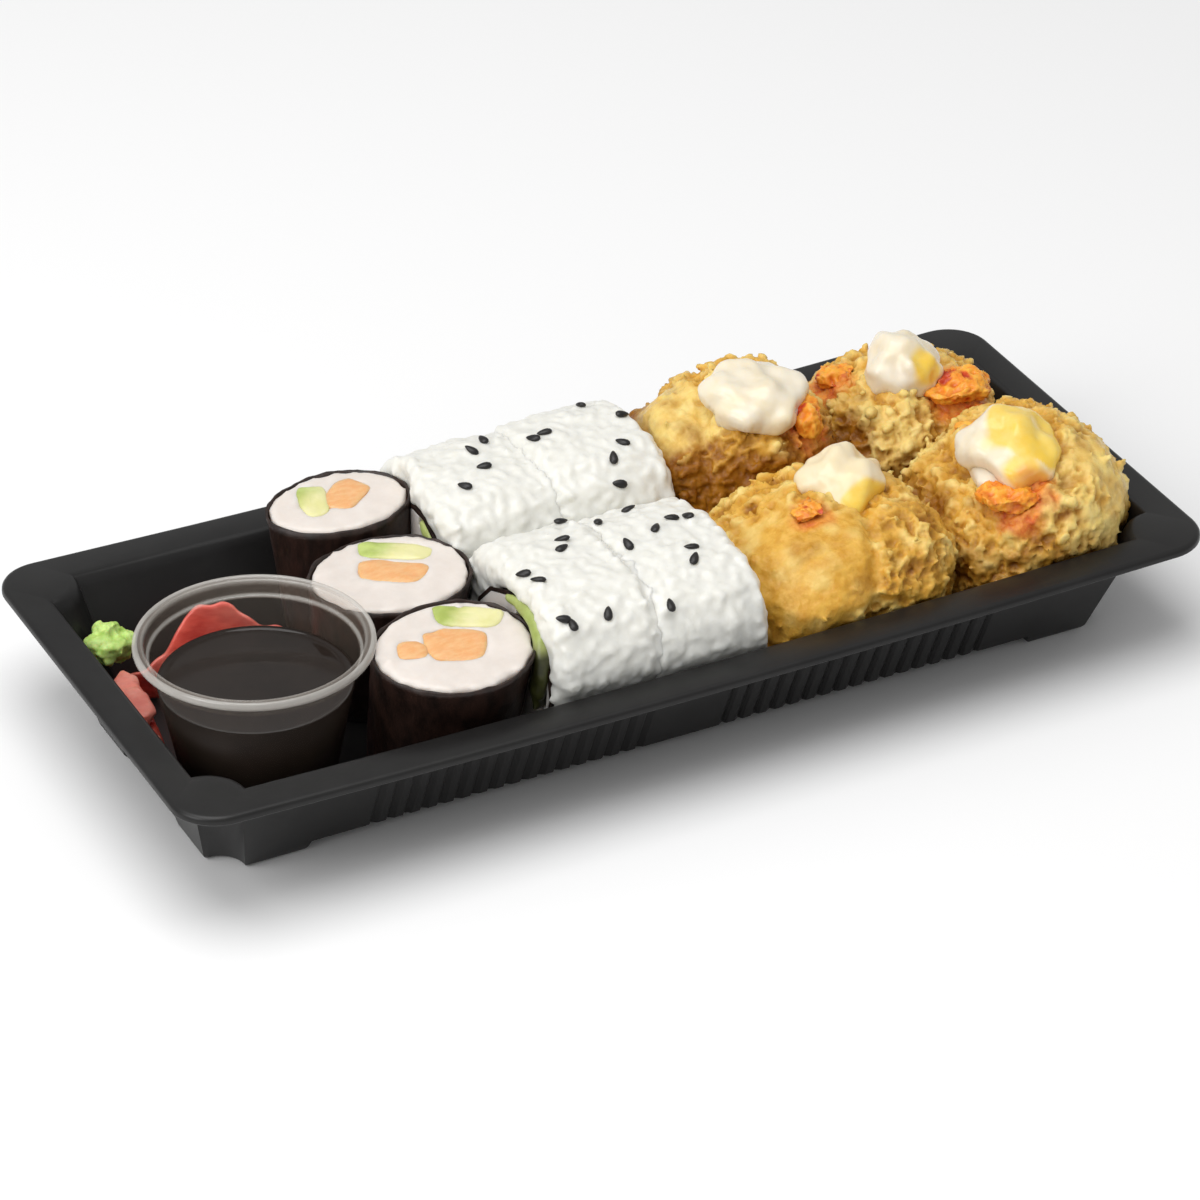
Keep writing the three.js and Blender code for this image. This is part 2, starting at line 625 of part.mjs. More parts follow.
function crust(lump, grow) {
  const [left, right] = lump.x;
  const [near, far] = lump.y;
  const halfX = (right - left) / 2;
  const halfY = (far - near) / 2;
  return moved(new THREE.IcosahedronGeometry(1, CRUST_DETAIL), (point) => {
    const { x, y, z } = point;
    const power = lump.power;
    const spread = Math.abs(x) ** power + Math.abs(y) ** power + Math.abs(z) ** power;
    const reach = spread ** (-1 / power);
    const coarse = CRAG_COARSE * grain(x * 20, y * 20 + left, z * 20 + near, 7);
    const fine = CRAG_FINE * grain(x * 20 + near, y * 20, z * 20 + left, 2.7);
    const swell = CRUST_SWELL + grow + coarse + fine;
    const offset = left + halfX + x * reach * (halfX + swell);
    const rightness = THREE.MathUtils.smoothstep(x * reach, -1, 0.4);
    const halfZ = (lerp(lump.top[0], lump.top[1], rightness) - FOOD_FLOOR) / 2;
    const [waistX, waistDepth] = lump.waist;
    const pinch = waistDepth * Math.exp(-(((offset - waistX) / 4) ** 2));
    point.x = clamp(offset, left - grow, right + grow);
    point.y = near + halfY + y * reach * (halfY + swell - pinch);
    point.y = clamp(point.y, near - grow, far + grow);
    point.z = FOOD_FLOOR + halfZ + z * reach * (halfZ + swell - pinch - CRUST_SWELL);
    insideTray(point, -grow);
  });
}

// A spooned dollop: a soft lump with a few folds.
function dollop(spot, detail, folds, seed) {
  const [halfX, halfY, halfZ] = spot.half;
  return moved(new THREE.IcosahedronGeometry(1, detail), (point) => {
    const { x, y, z } = point;
    const fold = 1 + folds * grain(x * 2 + seed, y * 2, z * 2, 1.1);
    point.set(spot.x + x * halfX * fold, spot.y + y * halfY * fold, spot.z + z * halfZ * fold);
  });
}

const crusts = FRIED.map((lump) => solidOf(crust(lump, 0)));
const crustsGrown = FRIED.map((lump) => solidOf(crust(lump, GAP)));
const mayosGrown = [];

FRIED.forEach((lump, i) => {
  place(`fried_roll_${i + 1}`, geometryOf(crusts[i]), CRUST);
  const { mayo } = lump;
  const raw = solidOf(dollop(mayo, 2, 0.35, i * 3.7));
  place(`mayonnaise_${i + 1}`, geometryOf(carve(raw, [crustsGrown[i]])), MAYONNAISE);
  const half = mayo.half.map((size) => size + GAP);
  mayosGrown.push(solidOf(dollop({ ...mayo, half }, 2, 0.35, i * 3.7)));
});

// Chilli paste on the fried rolls; roll is the one that it lies on.
const CHILLI_SPOTS = [
  { roll: 0, x: 54.6, y: 11.4, z: 42.6, half: [4.2, 6.6, 5] },
  { roll: 1, x: 74.2, y: 31.2, z: 37.6, half: [5.8, 4.8, 3] },
  { roll: 1, x: 96, y: 14.4, z: 38.4, half: [8.6, 7.2, 3.4] },
  { roll: 2, x: 36.8, y: -23.2, z: 41.8, half: [4.8, 3.8, 2.4] },
  { roll: 3, x: 82, y: -33.5, z: 39.8, half: [8.6, 6, 3.2] },
];

CHILLI_SPOTS.forEach((spot, i) => {
  const raw = solidOf(dollop(spot, 1, 0.45, i * 5.3 + 2));
  const rest = carve(raw, [crustsGrown[spot.roll], mayosGrown[spot.roll]]);
  place(`chilli_paste_${i + 1}`, geometryOf(rest), CHILLI);
});

// --------------------------------------------------------------------- wasabi and ginger

const WASABI_SPOT = { x: -104.2, y: 30.4, z: 19, half: [5.4, 5, 4.5] };

place('wasabi', moved(dollop(WASABI_SPOT, 2, 0.5, 11), (point) => {
  insideTray(point, 0.2);
}), WASABI);

// A slice stands on edge along a bend through three points, with a wavy crest. Its heights are
// spread evenly along it. The fold is a slice that lies flat, so it is thicker than it is high.
const GINGER_SLICES = [
  { name: 'ginger_back', bend: [[-106, 28], [-88, 30], [-67.5, 19]], foot: FOOD_FLOOR,
    heights: [5, 7, 9, 12, 18, 20.5, 22, 17, 15], thick: 1.6, wave: 1.1, lean: 0, steps: 16 },
  { name: 'ginger_fold', bend: [[-105.2, 20.4], [-106.4, 11], [-107.2, 1.6]], foot: 16.2,
    heights: [2.2, 2.6, 2.2], thick: 5.4, wave: 0.3, lean: 0, steps: 8 },
  { name: 'ginger_deep', bend: [[-104.5, 16.5], [-105, 8], [-105.6, -2]], foot: FOOD_FLOOR,
    heights: [10.8, 11.2, 11], thick: 3, wave: 0.6, lean: 0.15, steps: 7 },
  { name: 'ginger_tail', bend: [[-109, -4.6], [-109.3, -9.5], [-108.6, -15]], foot: 12.5,
    heights: [9.5, 8.5, 6.5], thick: 1.6, wave: 0.35, lean: 0.25, steps: 6 },
];

function gingerSlice({ bend, foot, heights, thick, wave, lean, steps }) {
  const path = new THREE.QuadraticBezierCurve(...bend.map(([x, y]) => new THREE.Vector2(x, y)));
  return moved(new THREE.BoxGeometry(1, 1, 1, steps, 1, 3), (point) => {
    const share = point.x + 0.5;
    const up = point.z + 0.5;
    const at = path.getPoint(share);
    const along = path.getTangent(share);
    const ripple = wave * Math.sin(share * 9 + up * 2.5) * (0.3 + up);
    const across = point.y * thick * (0.55 + 0.45 * Math.sin(up * Math.PI)) + ripple;
    const place = share * (heights.length - 1);
    const before = Math.min(Math.floor(place), heights.length - 2);
    const tall = lerp(heights[before], heights[before + 1], place - before);
    const climb = up * tall * (1 + 0.05 * Math.sin(share * 14));
    point.x = at.x - along.y * across - lean * (climb - tall / 2);
    point.y = at.y + along.x * across;
    point.z = foot + climb;
    insideTray(point, 0);
  });
}

GINGER_SLICES.forEach((slice) => place(slice.name, gingerSlice(slice), GINGER));

export default tray;
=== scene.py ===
import itertools
import math

import bmesh
import bpy
import numpy as np
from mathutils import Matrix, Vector
from mathutils.bvhtree import BVHTree


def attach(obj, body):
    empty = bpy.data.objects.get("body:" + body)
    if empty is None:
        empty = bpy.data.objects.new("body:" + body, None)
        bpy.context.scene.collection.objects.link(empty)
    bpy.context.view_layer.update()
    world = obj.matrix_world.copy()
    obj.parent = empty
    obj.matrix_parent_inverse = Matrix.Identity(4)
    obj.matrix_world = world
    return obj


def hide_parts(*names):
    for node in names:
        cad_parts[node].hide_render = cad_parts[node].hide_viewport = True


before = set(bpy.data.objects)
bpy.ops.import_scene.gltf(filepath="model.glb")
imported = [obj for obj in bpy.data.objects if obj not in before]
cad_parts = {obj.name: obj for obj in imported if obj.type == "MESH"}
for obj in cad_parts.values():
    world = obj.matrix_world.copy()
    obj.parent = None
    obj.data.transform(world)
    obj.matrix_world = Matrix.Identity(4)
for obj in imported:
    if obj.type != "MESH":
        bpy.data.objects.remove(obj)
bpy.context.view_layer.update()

# ============================================================================ THE TRAY
# One sheet of black plastic, heated and drawn over a mould: a flat rim with a turned-down
# lip, fluted long walls that slope to a plain floor, and a foot under each corner.
MM = 0.001
RIM_LENGTH = 243
RIM_WIDTH = 109
RIM_TOP = 29
RIM_CORNER = 10
RIM_SAG = 1.6
LIP_REACH = 1.2
LIP_DROP = 1.9
SHEET = 0.8
WALL = 1.3
OPENING_LENGTH = 227
OPENING_WIDTH = 91
OPENING_BULGE = 8.3
FLOOR_LENGTH = 214.4
FLOOR_WIDTH = 68.5
FLOOR_BULGE = 6.6
FLOOR_TOP = 3.7
FLOOR_FILLET = 1.5
FOOT_HEIGHT = 2.9
FOOT_EDGE = 1.2
FOOT_START_X = 88.5
FOOT_START_Y = 16
FOOT_SLOPE = 2
RIB_PITCH = 3.9
RIBS = 16
RIBS_START = 10.2
GROOVE_WIDTH = 1.8
GROOVE_DEPTH = 0.9
GROOVE_TOP = 25.4
CORNER_STEPS = 12
FLUTED_HALF = 76.05
FLUTED_STEP = 0.65
PLASTIC_BLACK = (0.008, 0.0075, 0.0075)
PLASTIC_GREY = (0.014, 0.0135, 0.013)
SHARP_ANGLE = 32


def lerp(low, high, share):
    return low + (high - low) * share


def solid_piece(name, points, faces, finish, nodes=()):
    """A smooth mesh piece from points in mm, standing for the CAD nodes named."""
    mesh = bpy.data.meshes.new(name)
    mesh.from_pydata((np.asarray(points, float) * MM).tolist(), [], faces)
    mesh.update()
    mesh.polygons.foreach_set("use_smooth", [True] * len(mesh.polygons))
    piece = bpy.data.objects.new(name, mesh)
    bpy.context.collection.objects.link(piece)
    piece.data.materials.append(finish)
    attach(piece, "root")
    if nodes:
        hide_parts(*nodes)
    return piece


def loft_faces(ring_count, per_ring, looped=False):
    """Quads between neighbouring rings; the ends are closed unless the rings form a loop."""
    faces = []
    for ring in range(ring_count if looped else ring_count - 1):
        low = ring * per_ring
        high = (ring + 1) % ring_count * per_ring
        for i in range(per_ring):
            after = (i + 1) % per_ring
            faces.append((low + i, low + after, high + after, high + i))
    if not looped:
        faces.append(tuple(reversed(range(per_ring))))
        faces.append(tuple(range((ring_count - 1) * per_ring, ring_count * per_ring)))
    return faces


def new_group(name, inputs, outputs):
    """An empty shader node group; each socket is (name, type, default)."""
    tree = bpy.data.node_groups.new(name, "ShaderNodeTree")
    for label, kind, default in inputs:
        socket = tree.interface.new_socket(label, in_out="INPUT", socket_type=kind)
        socket.default_value = default
    for label, kind in outputs:
        tree.interface.new_socket(label, in_out="OUTPUT", socket_type=kind)
    return tree, tree.nodes.new("NodeGroupInput"), tree.nodes.new("NodeGroupOutput")


def add(tree, kind, settings=None, **inputs):
    """A node with its own settings, and its sockets set to a value or wired to a socket."""
    node = tree.nodes.new(kind)
    for key, value in (settings or {}).items():
        setattr(node, key, value)
    for key, value in inputs.items():
        socket = node.inputs[int(key[1:])] if key[0] == "_" else node.inputs[key.replace("_", " ")]
        if isinstance(value, bpy.types.NodeSocket):
            tree.links.new(value, socket)
        elif socket.type == "RGBA" and len(value) == 3:
            socket.default_value = (*value, 1)
        else:
            socket.default_value = value
    return node


def use_group(tree, group, **inputs):
    return add(tree, "ShaderNodeGroup", {"node_tree": group}, **inputs)


def calculated(tree, operation, one, other):
    """The output of a Math node."""
    return add(tree, "ShaderNodeMath", {"operation": operation}, _0=one, _1=other).outputs[0]


def stretched_place(tree, given):
    """The place on the piece, drawn out by the group's Stretch."""
    place = add(tree, "ShaderNodeTexCoord")
    return add(tree, "ShaderNodeVectorMath", {"operation": "MULTIPLY"},
               _0=place.outputs["Object"], _1=given.outputs["Stretch"]).outputs[0]


# Mottle: two colours in cloudy patches. Scale is patches per metre, Balance moves the border
# towards the second colour, Softness widens it, and Stretch draws the patches out.
mottle, given, result = new_group(
    "Mottle",
    [("First", "NodeSocketColor", (1, 1, 1, 1)), ("Second", "NodeSocketColor", (0, 0, 0, 1)),
     ("Scale", "NodeSocketFloat", 300), ("Balance", "NodeSocketFloat", 0.5),
     ("Softness", "NodeSocketFloat", 0.1), ("Stretch", "NodeSocketVector", (1, 1, 1))],
    [("Colour", "NodeSocketColor"), ("Mask", "NodeSocketFloat")])
cloud = add(mottle, "ShaderNodeTexNoise", Vector=stretched_place(mottle, given),
            Scale=given.outputs["Scale"], Detail=4.0, Roughness=0.6)
balance, softness = given.outputs["Balance"], given.outputs["Softness"]
border = add(mottle, "ShaderNodeMapRange", {"interpolation_type": "SMOOTHSTEP"},
             Value=cloud.outputs[0], From_Min=calculated(mottle, "SUBTRACT", balance, softness),
             From_Max=calculated(mottle, "ADD", balance, softness))
blend = add(mottle, "ShaderNodeMix", {"data_type": "RGBA"}, _0=border.outputs[0],
            _6=given.outputs["Second"], _7=given.outputs["First"])
mottle.links.new(blend.outputs[2], result.inputs["Colour"])
mottle.links.new(border.outputs[0], result.inputs["Mask"])

# Grit: fine relief of a size with a share of coarser relief, as a height for a Bump node.
grit, given, result = new_group(
    "Grit",
    [("Scale", "NodeSocketFloat", 800), ("Coarse Share", "NodeSocketFloat", 0.5),
     ("Stretch", "NodeSocketVector", (1, 1, 1))],
    [("Height", "NodeSocketFloat")])
drawn = stretched_place(grit, given)
fine = add(grit, "ShaderNodeTexNoise", Vector=drawn, Scale=given.outputs["Scale"],
           Detail=5.0, Roughness=0.65)
coarse = add(grit, "ShaderNodeTexNoise", Vector=drawn, Detail=2.0,
             Scale=calculated(grit, "MULTIPLY", given.outputs["Scale"], 0.27))
both = add(grit, "ShaderNodeMix", {"data_type": "FLOAT"}, _0=given.outputs["Coarse Share"],
           _2=fine.outputs[0], _3=coarse.outputs[0])
grit.links.new(both.outputs[0], result.inputs["Height"])


def new_finish(name, first, second, mottle_with, grit_with, bump, layers=(), **shader):
    """A material: mottled colour, gritty relief and constants on the shader's own sockets.

    A layer is a mask stored on the piece's points and the two colours that it brings in.
    """
    finish = bpy.data.materials.new(name)
    finish.use_nodes = True
    tree = finish.node_tree
    tree.nodes.clear()
    paint = use_group(tree, mottle, First=first, Second=second, **mottle_with).outputs["Colour"]
    for mask, one, other in layers:
        stored = add(tree, "ShaderNodeAttribute", {"attribute_name": mask})
        over = use_group(tree, mottle, First=one, Second=other, **mottle_with)
        paint = add(tree, "ShaderNodeMix", {"data_type": "RGBA"}, _0=stored.outputs["Fac"],
                    _6=paint, _7=over.outputs["Colour"]).outputs[2]
    height = use_group(tree, grit, **grit_with)
    strength, depth = bump
    relief = add(tree, "ShaderNodeBump", Strength=strength, Distance=depth * MM,
                 Height=height.outputs["Height"])
    surface = add(tree, "ShaderNodeBsdfPrincipled", Base_Color=paint, Normal=relief.outputs[0],
                  **shader)
    add(tree, "ShaderNodeOutputMaterial", Surface=surface.outputs[0])
    return finish


def store(piece, **masks):
    """Stores masks from 0 to 1 on the piece's points, for its finish to read."""
    for name, values in masks.items():
        layer = piece.data.attributes.new(name, "FLOAT", "POINT")
        layer.data.foreach_set("value", np.clip(values, 0, 1).astype(np.float32))


def corner_outline(half_x, half_y, radius, bulging):
    """A rectangle, anticlockwise, whose corners are rounded off or bulge inwards."""
    points = []
    flutes = np.arange(FLUTED_HALF, -FLUTED_HALF - 0.1, -FLUTED_STEP)
    for quarter, (side_x, side_y) in enumerate(((1, 1), (-1, 1), (-1, -1), (1, -1))):
        inset = 0 if bulging else radius
        turn = -1 if bulging else 1
        start = (quarter - (1 if bulging else 0)) * math.pi / 2
        for step in range(CORNER_STEPS + 1):
            angle = start + turn * step / CORNER_STEPS * math.pi / 2
            points.append((side_x * (half_x - inset) + radius * math.cos(angle),
                           side_y * (half_y - inset) + radius * math.sin(angle)))
        if side_x == side_y:
            points += [(side_x * x, side_y * half_y) for x in flutes]
    return np.array(points)


def rise(height):
    """The share of the way up from the floor to the rim."""
    return (height - FLOOR_TOP) / (RIM_TOP - FLOOR_TOP)


def level(points, height, sagging):
    sag = RIM_SAG * (1 - (2 * points[:, 0] / RIM_LENGTH) ** 2) if sagging else 0
    return np.column_stack([points, np.full(len(points), height) - sag])


def cavity_ring(height, margin, sagging=False, fluted=False):
    half_x = lerp(FLOOR_LENGTH, OPENING_LENGTH, rise(height)) / 2 + margin
    half_y = lerp(FLOOR_WIDTH, OPENING_WIDTH, rise(height)) / 2 + margin
    points = corner_outline(half_x, half_y, lerp(FLOOR_BULGE, OPENING_BULGE, rise(height)), True)
    if fluted:
        straight = np.abs(np.abs(points[:, 1]) - half_y) < 1e-6
        along = np.abs(points[:, 0]) - RIBS_START
        nearest = np.clip(np.round(along / RIB_PITCH), 0, RIBS) * RIB_PITCH
        off = np.clip(np.abs(along - nearest) / (GROOVE_WIDTH / 2), 0, 1)
        dent = GROOVE_DEPTH * 0.5 * (1 + np.cos(off * math.pi))
        points[:, 1] -= np.sign(points[:, 1]) * np.where(straight, dent, 0)
    return level(points, height, sagging)


def rim_ring(inset, height):
    points = corner_outline(RIM_LENGTH / 2 - inset, RIM_WIDTH / 2 - inset, RIM_CORNER - inset,
                            False)
    return level(points, height, True)


# From under the floor up the outside, over the rim and down the inside to the floor.
tray_rings = [
    cavity_ring(0, WALL - FOOT_EDGE, fluted=True),
    cavity_ring(FOOT_EDGE * 0.3, WALL - FOOT_EDGE * 0.3, fluted=True),
    cavity_ring(FOOT_EDGE, WALL, fluted=True),
    cavity_ring(GROOVE_TOP - 0.8, WALL, fluted=True),
    cavity_ring(GROOVE_TOP, WALL),
    cavity_ring(RIM_TOP - SHEET, WALL, sagging=True),
    rim_ring(LIP_REACH + SHEET, RIM_TOP - SHEET),
    rim_ring(SHEET, RIM_TOP - LIP_DROP),
    rim_ring(0.2, RIM_TOP - LIP_DROP),
    rim_ring(0, RIM_TOP - LIP_DROP + 0.25),
    rim_ring(0.05, RIM_TOP - SHEET),
    rim_ring(0.3, RIM_TOP - 0.4),
    rim_ring(0.7, RIM_TOP - 0.12),
    rim_ring(LIP_REACH, RIM_TOP),
    cavity_ring(RIM_TOP, SHEET + 0.2, sagging=True),
    cavity_ring(RIM_TOP - 0.2, SHEET / 2, sagging=True),
    cavity_ring(RIM_TOP - SHEET, 0, sagging=True),
    cavity_ring(GROOVE_TOP + 0.2, 0),
    cavity_ring(FLOOR_TOP + FLOOR_FILLET, 0),
    cavity_ring(FLOOR_TOP + 0.45, -0.4),
    cavity_ring(FLOOR_TOP, -FLOOR_FILLET),
]
tray_finish = new_finish(
    "black plastic sheet", PLASTIC_GREY, PLASTIC_BLACK,
    dict(Scale=55, Softness=0.25), dict(Scale=2600, Coarse_Share=0.4), (0.12, 0.12),
    Roughness=0.36, Specular_IOR_Level=0.36)
tray = solid_piece("tray_sheet", np.concatenate(tray_rings),
                   loft_faces(len(tray_rings), len(tray_rings[0])),
                   tray_finish, ["tray"])

# The space between the feet is cut away by two blocks with sloping sides.
for half_x, half_y in ((FOOT_START_X, RIM_WIDTH), (RIM_LENGTH, FOOT_START_Y)):
    block = bpy.data.meshes.new("block")
    shape = bmesh.new()
    bmesh.ops.create_cube(shape, size=2)
    for corner in shape.verts:
        slope = FOOT_SLOPE if corner.co.z > 0 else 0
        corner.co.x *= (half_x - slope) * MM
        corner.co.y *= (half_y - slope) * MM
        corner.co.z *= FOOT_HEIGHT * MM
    shape.to_mesh(block)
    shape.free()
    cutter = bpy.data.objects.new("block", block)
    bpy.context.collection.objects.link(cutter)
    cut = tray.modifiers.new("cut", "BOOLEAN")
    cut.operation = "DIFFERENCE"
    cut.solver = "EXACT"
    cut.object = cutter
    bpy.context.view_layer.update()
    done = bpy.data.meshes.new_from_object(
        tray.evaluated_get(bpy.context.evaluated_depsgraph_get()))
    tray.modifiers.clear()
    tray.data = done
    bpy.data.objects.remove(cutter)
tray.data.set_sharp_from_angle(angle=math.radians(SHARP_ANGLE))

# ============================================================================ SAUCE CUP
# A round portion cup, drawn from thin clear plastic: a rim of two beads with a groove
# between them, a stacking ledge under it and a tapered body. It stands on the tray's floor.
CUP_X = -87.8
CUP_Y = -11.7
CUP_HEIGHT = 36
CUP_RIM_RADIUS = 25.4
CUP_RIM_DEPTH = 1.8
CUP_LEDGE_DEPTH = 4.4
CUP_LEDGE_RADIUS = 22.4
CUP_STEP = 1.1
CUP_BASE_RADIUS = 15.6
CUP_WALL = 0.7
SOY_DEPTH_BELOW_RIM = 10.9
GAP = 0.3
FOOD_FLOOR = FLOOR_TOP + GAP
ROUND_STEPS = 128
LEDGE_HEIGHT = CUP_HEIGHT - CUP_LEDGE_DEPTH
UNDER_RIM = CUP_HEIGHT - CUP_RIM_DEPTH
SOY_HEIGHT = CUP_HEIGHT - SOY_DEPTH_BELOW_RIM


def cup_radius(height):
    """Inner radius of the tapered body at a height above the cup's base."""
    return CUP_BASE_RADIUS + (CUP_LEDGE_RADIUS - CUP_WALL - CUP_BASE_RADIUS) * height / LEDGE_HEIGHT


def full_turn(steps):
    """Even angles all the way round."""
    return np.arange(steps) / steps * 2 * math.pi


def turned(profile):
    """Rings of a profile of (radius, height) turned about the cup's upright axis."""
    angles = full_turn(ROUND_STEPS)
    return np.concatenate([
        np.column_stack([CUP_X + radius * np.cos(angles), CUP_Y + radius * np.sin(angles),
                         np.full(ROUND_STEPS, FOOD_FLOOR + height)])
        for radius, height in profile])


def rim_spots(*offsets):
    """Points of the rim's section, each by its inset and its drop from the rim's top."""
    return [(CUP_RIM_RADIUS - inset, CUP_HEIGHT - drop) for inset, drop in offsets]


# How much each part of the plastic hides: a thin flat wall hardly, an edge or a bead more.
BODY_FOG = 0.028
COLLAR_FOG = 0.085
GROOVE_FOG = 0.2
LEDGE_FOG = 0.36
BEAD_FOG = 0.5
INNER_BEAD_FOG = 0.3
CUP_SURFACE = CUP_LEDGE_RADIUS + CUP_STEP
# From the middle of the base up the outside, over the rim and down the inside.
cup_zones = [
    (BODY_FOG, [(0.01, 0), (CUP_BASE_RADIUS - 0.6, 0), (CUP_BASE_RADIUS, 0.2),
                (cup_radius(CUP_WALL) + CUP_WALL, CUP_WALL + 0.1),
                (cup_radius(12) + CUP_WALL, 12), (cup_radius(22) + CUP_WALL, 22),
                (CUP_LEDGE_RADIUS, LEDGE_HEIGHT)]),
    (COLLAR_FOG, [(CUP_LEDGE_RADIUS + 0.35, LEDGE_HEIGHT + 0.12),
                  (CUP_SURFACE - 0.2, LEDGE_HEIGHT + 0.4), (CUP_SURFACE, LEDGE_HEIGHT + 0.75),
                  (CUP_SURFACE, UNDER_RIM - 0.2), (CUP_SURFACE + 0.25, UNDER_RIM)]),
    (GROOVE_FOG, [(CUP_RIM_RADIUS - 0.4, UNDER_RIM)]),
    (BEAD_FOG, [(CUP_RIM_RADIUS - 0.1, UNDER_RIM + 0.15), (CUP_RIM_RADIUS, UNDER_RIM + 0.6)]),
    (BEAD_FOG, rim_spots((0.1, 0.5), (0.35, 0.14), (0.7, 0), (1.05, 0.14))),
    (GROOVE_FOG, rim_spots((1.3, 0.42), (1.65, 0.42))),
    (INNER_BEAD_FOG, rim_spots((1.9, 0.2), (2.2, 0.25), (2.45, 0.6))),
    (COLLAR_FOG, [(CUP_LEDGE_RADIUS + 0.4, CUP_HEIGHT - 1.4),
                  (CUP_LEDGE_RADIUS + 0.25, LEDGE_HEIGHT + 1.4)]),
    (LEDGE_FOG, [(CUP_LEDGE_RADIUS + 0.1, LEDGE_HEIGHT + 1.0),
                 (CUP_LEDGE_RADIUS - 0.3, LEDGE_HEIGHT + 0.8)]),
    (BODY_FOG, [(CUP_LEDGE_RADIUS - CUP_WALL, LEDGE_HEIGHT + 0.4), (cup_radius(22), 22),
                (cup_radius(12), 12), (cup_radius(CUP_WALL), CUP_WALL),
                (cup_radius(0) - 1, CUP_WALL), (0.01, CUP_WALL)]),
]
cup_profile = [spot for _, zone in cup_zones for spot in zone]
cup_fog = [fog for fog, zone in cup_zones for _ in zone]
cup_finish = bpy.data.materials.new("clear plastic")
cup_finish.use_nodes = True
tree = cup_finish.node_tree
tree.nodes.clear()
edge = use_group(tree, mottle, First=(0.76, 0.73, 0.68), Second=(0.62, 0.59, 0.54),
                 Scale=120, Softness=0.3)
wall = use_group(tree, mottle, First=(0.62, 0.50, 0.40), Second=(0.50, 0.40, 0.32),
                 Scale=120, Softness=0.3)
fog = add(tree, "ShaderNodeAttribute", {"attribute_name": "fog"})
thick = add(tree, "ShaderNodeMapRange", Value=fog.outputs["Fac"], From_Min=COLLAR_FOG,
            From_Max=LEDGE_FOG)
milk = add(tree, "ShaderNodeMix", {"data_type": "RGBA"}, _0=thick.outputs[0],
           _6=wall.outputs["Colour"], _7=edge.outputs["Colour"])
surface = add(tree, "ShaderNodeBsdfPrincipled", Base_Color=milk.outputs[2],
              Alpha=fog.outputs["Fac"], Roughness=0.14, Specular_IOR_Level=1.0)
add(tree, "ShaderNodeOutputMaterial", Surface=surface.outputs[0])
cup = solid_piece("sauce_cup_clear", turned(cup_profile),
                  loft_faces(len(cup_profile), ROUND_STEPS), cup_finish,
                  ["sauce_cup"])
store(cup, fog=np.repeat(cup_fog, ROUND_STEPS))

# ============================================================================ SOY SAUCE
# Thin, nearly black brown sauce, poured in to two thirds of the cup. It creeps up the wall
# a little all round, and it reaches just into the wall, so that no air shows between.
SOY_BITE = 0.1
FIRST_FREE_RING = 4
soy_profile = [
    (0.01, CUP_WALL - SOY_BITE), (cup_radius(CUP_WALL) + SOY_BITE, CUP_WALL - SOY_BITE),
    (cup_radius(12) + SOY_BITE, 12), (cup_radius(SOY_HEIGHT + 0.7) + SOY_BITE, SOY_HEIGHT + 0.7),
    (cup_radius(SOY_HEIGHT) - 0.25, SOY_HEIGHT + 0.35),
    (cup_radius(SOY_HEIGHT) - 0.8, SOY_HEIGHT + 0.1),
    (cup_radius(SOY_HEIGHT) - 1.8, SOY_HEIGHT), (8, SOY_HEIGHT), (0.01, SOY_HEIGHT),
]
soy_finish = new_finish(
    "soy sauce", (0.016, 0.010, 0.007), (0.010, 0.006, 0.004),
    dict(Scale=60, Softness=0.2), dict(Scale=120, Coarse_Share=0.5), (0.05, 0.05),
    Roughness=0.5, Specular_IOR_Level=0.1, Coat_Roughness=0.04, Coat_IOR=1.33)
# Only the free surface is a mirror: where the sauce wets the plastic it hardly shines.
tree = soy_finish.node_tree
free = add(tree, "ShaderNodeAttribute", {"attribute_name": "free"})
tree.links.new(free.outputs["Fac"], tree.nodes["Principled BSDF"].inputs["Coat Weight"])
soy = solid_piece("soy_sauce_poured", turned(soy_profile),
                  loft_faces(len(soy_profile), ROUND_STEPS), soy_finish,
                  ["soy_sauce"])
store(soy, free=np.repeat(np.arange(len(soy_profile)) >= FIRST_FREE_RING, ROUND_STEPS))

# ============================================================================ MAKI: SEAWEED
# A toasted sheet of seaweed rolled round the rice and cut with it, so its edge shows as a
# thin dark line. It has gone damp and soft, with fine upright wrinkles.

# For each roll: the middle of its cut top and of its foot, the half axes of both, how much the
# cut leans, and its fillings, each with its kind, its middle on the cut, its half length and
# half width, and the degrees that it is turned.
MAKI = [
    dict(top=(-48.5, 32.3, 38.3), foot=(-48.2, 26.9), top_half=(16.8, 11.8),
         foot_half=(14.5, 6.8), tilt=0.04,
         fillings=[("avocado", -4.9, 2.2, 5.1, 2.4, 75), ("salmon", 2.6, 1.6, 5.1, 3.2, 40)]),
    dict(top=(-49.9, 2.9, 36.6), foot=(-49.4, 7.4), top_half=(18, 15.8),
         foot_half=(15.5, 11.8), tilt=0,
         fillings=[("avocado", 4.4, 7.6, 7.4, 2.4, -33), ("salmon", 0.6, 0.3, 6.8, 3.4, -33)]),
    dict(top=(-50.1, -28.9, 36.6), foot=(-49.8, -19.6), top_half=(17.8, 14.8),
         foot_half=(15.5, 14.1), tilt=0.16,
         fillings=[("avocado", 6.4, 7.2, 6.6, 2.4, -25), ("salmon", 0.4, 0, 5.8, 4.3, -20),
                   ("salmon_strip", -9, 1.6, 2.4, 2, -20)]),
]
MAKI_STEPS = 120
NORI = 0.7
NORI_LEVELS = 20
WRINKLE = 0.28
CUT_UNEVEN = 0.35


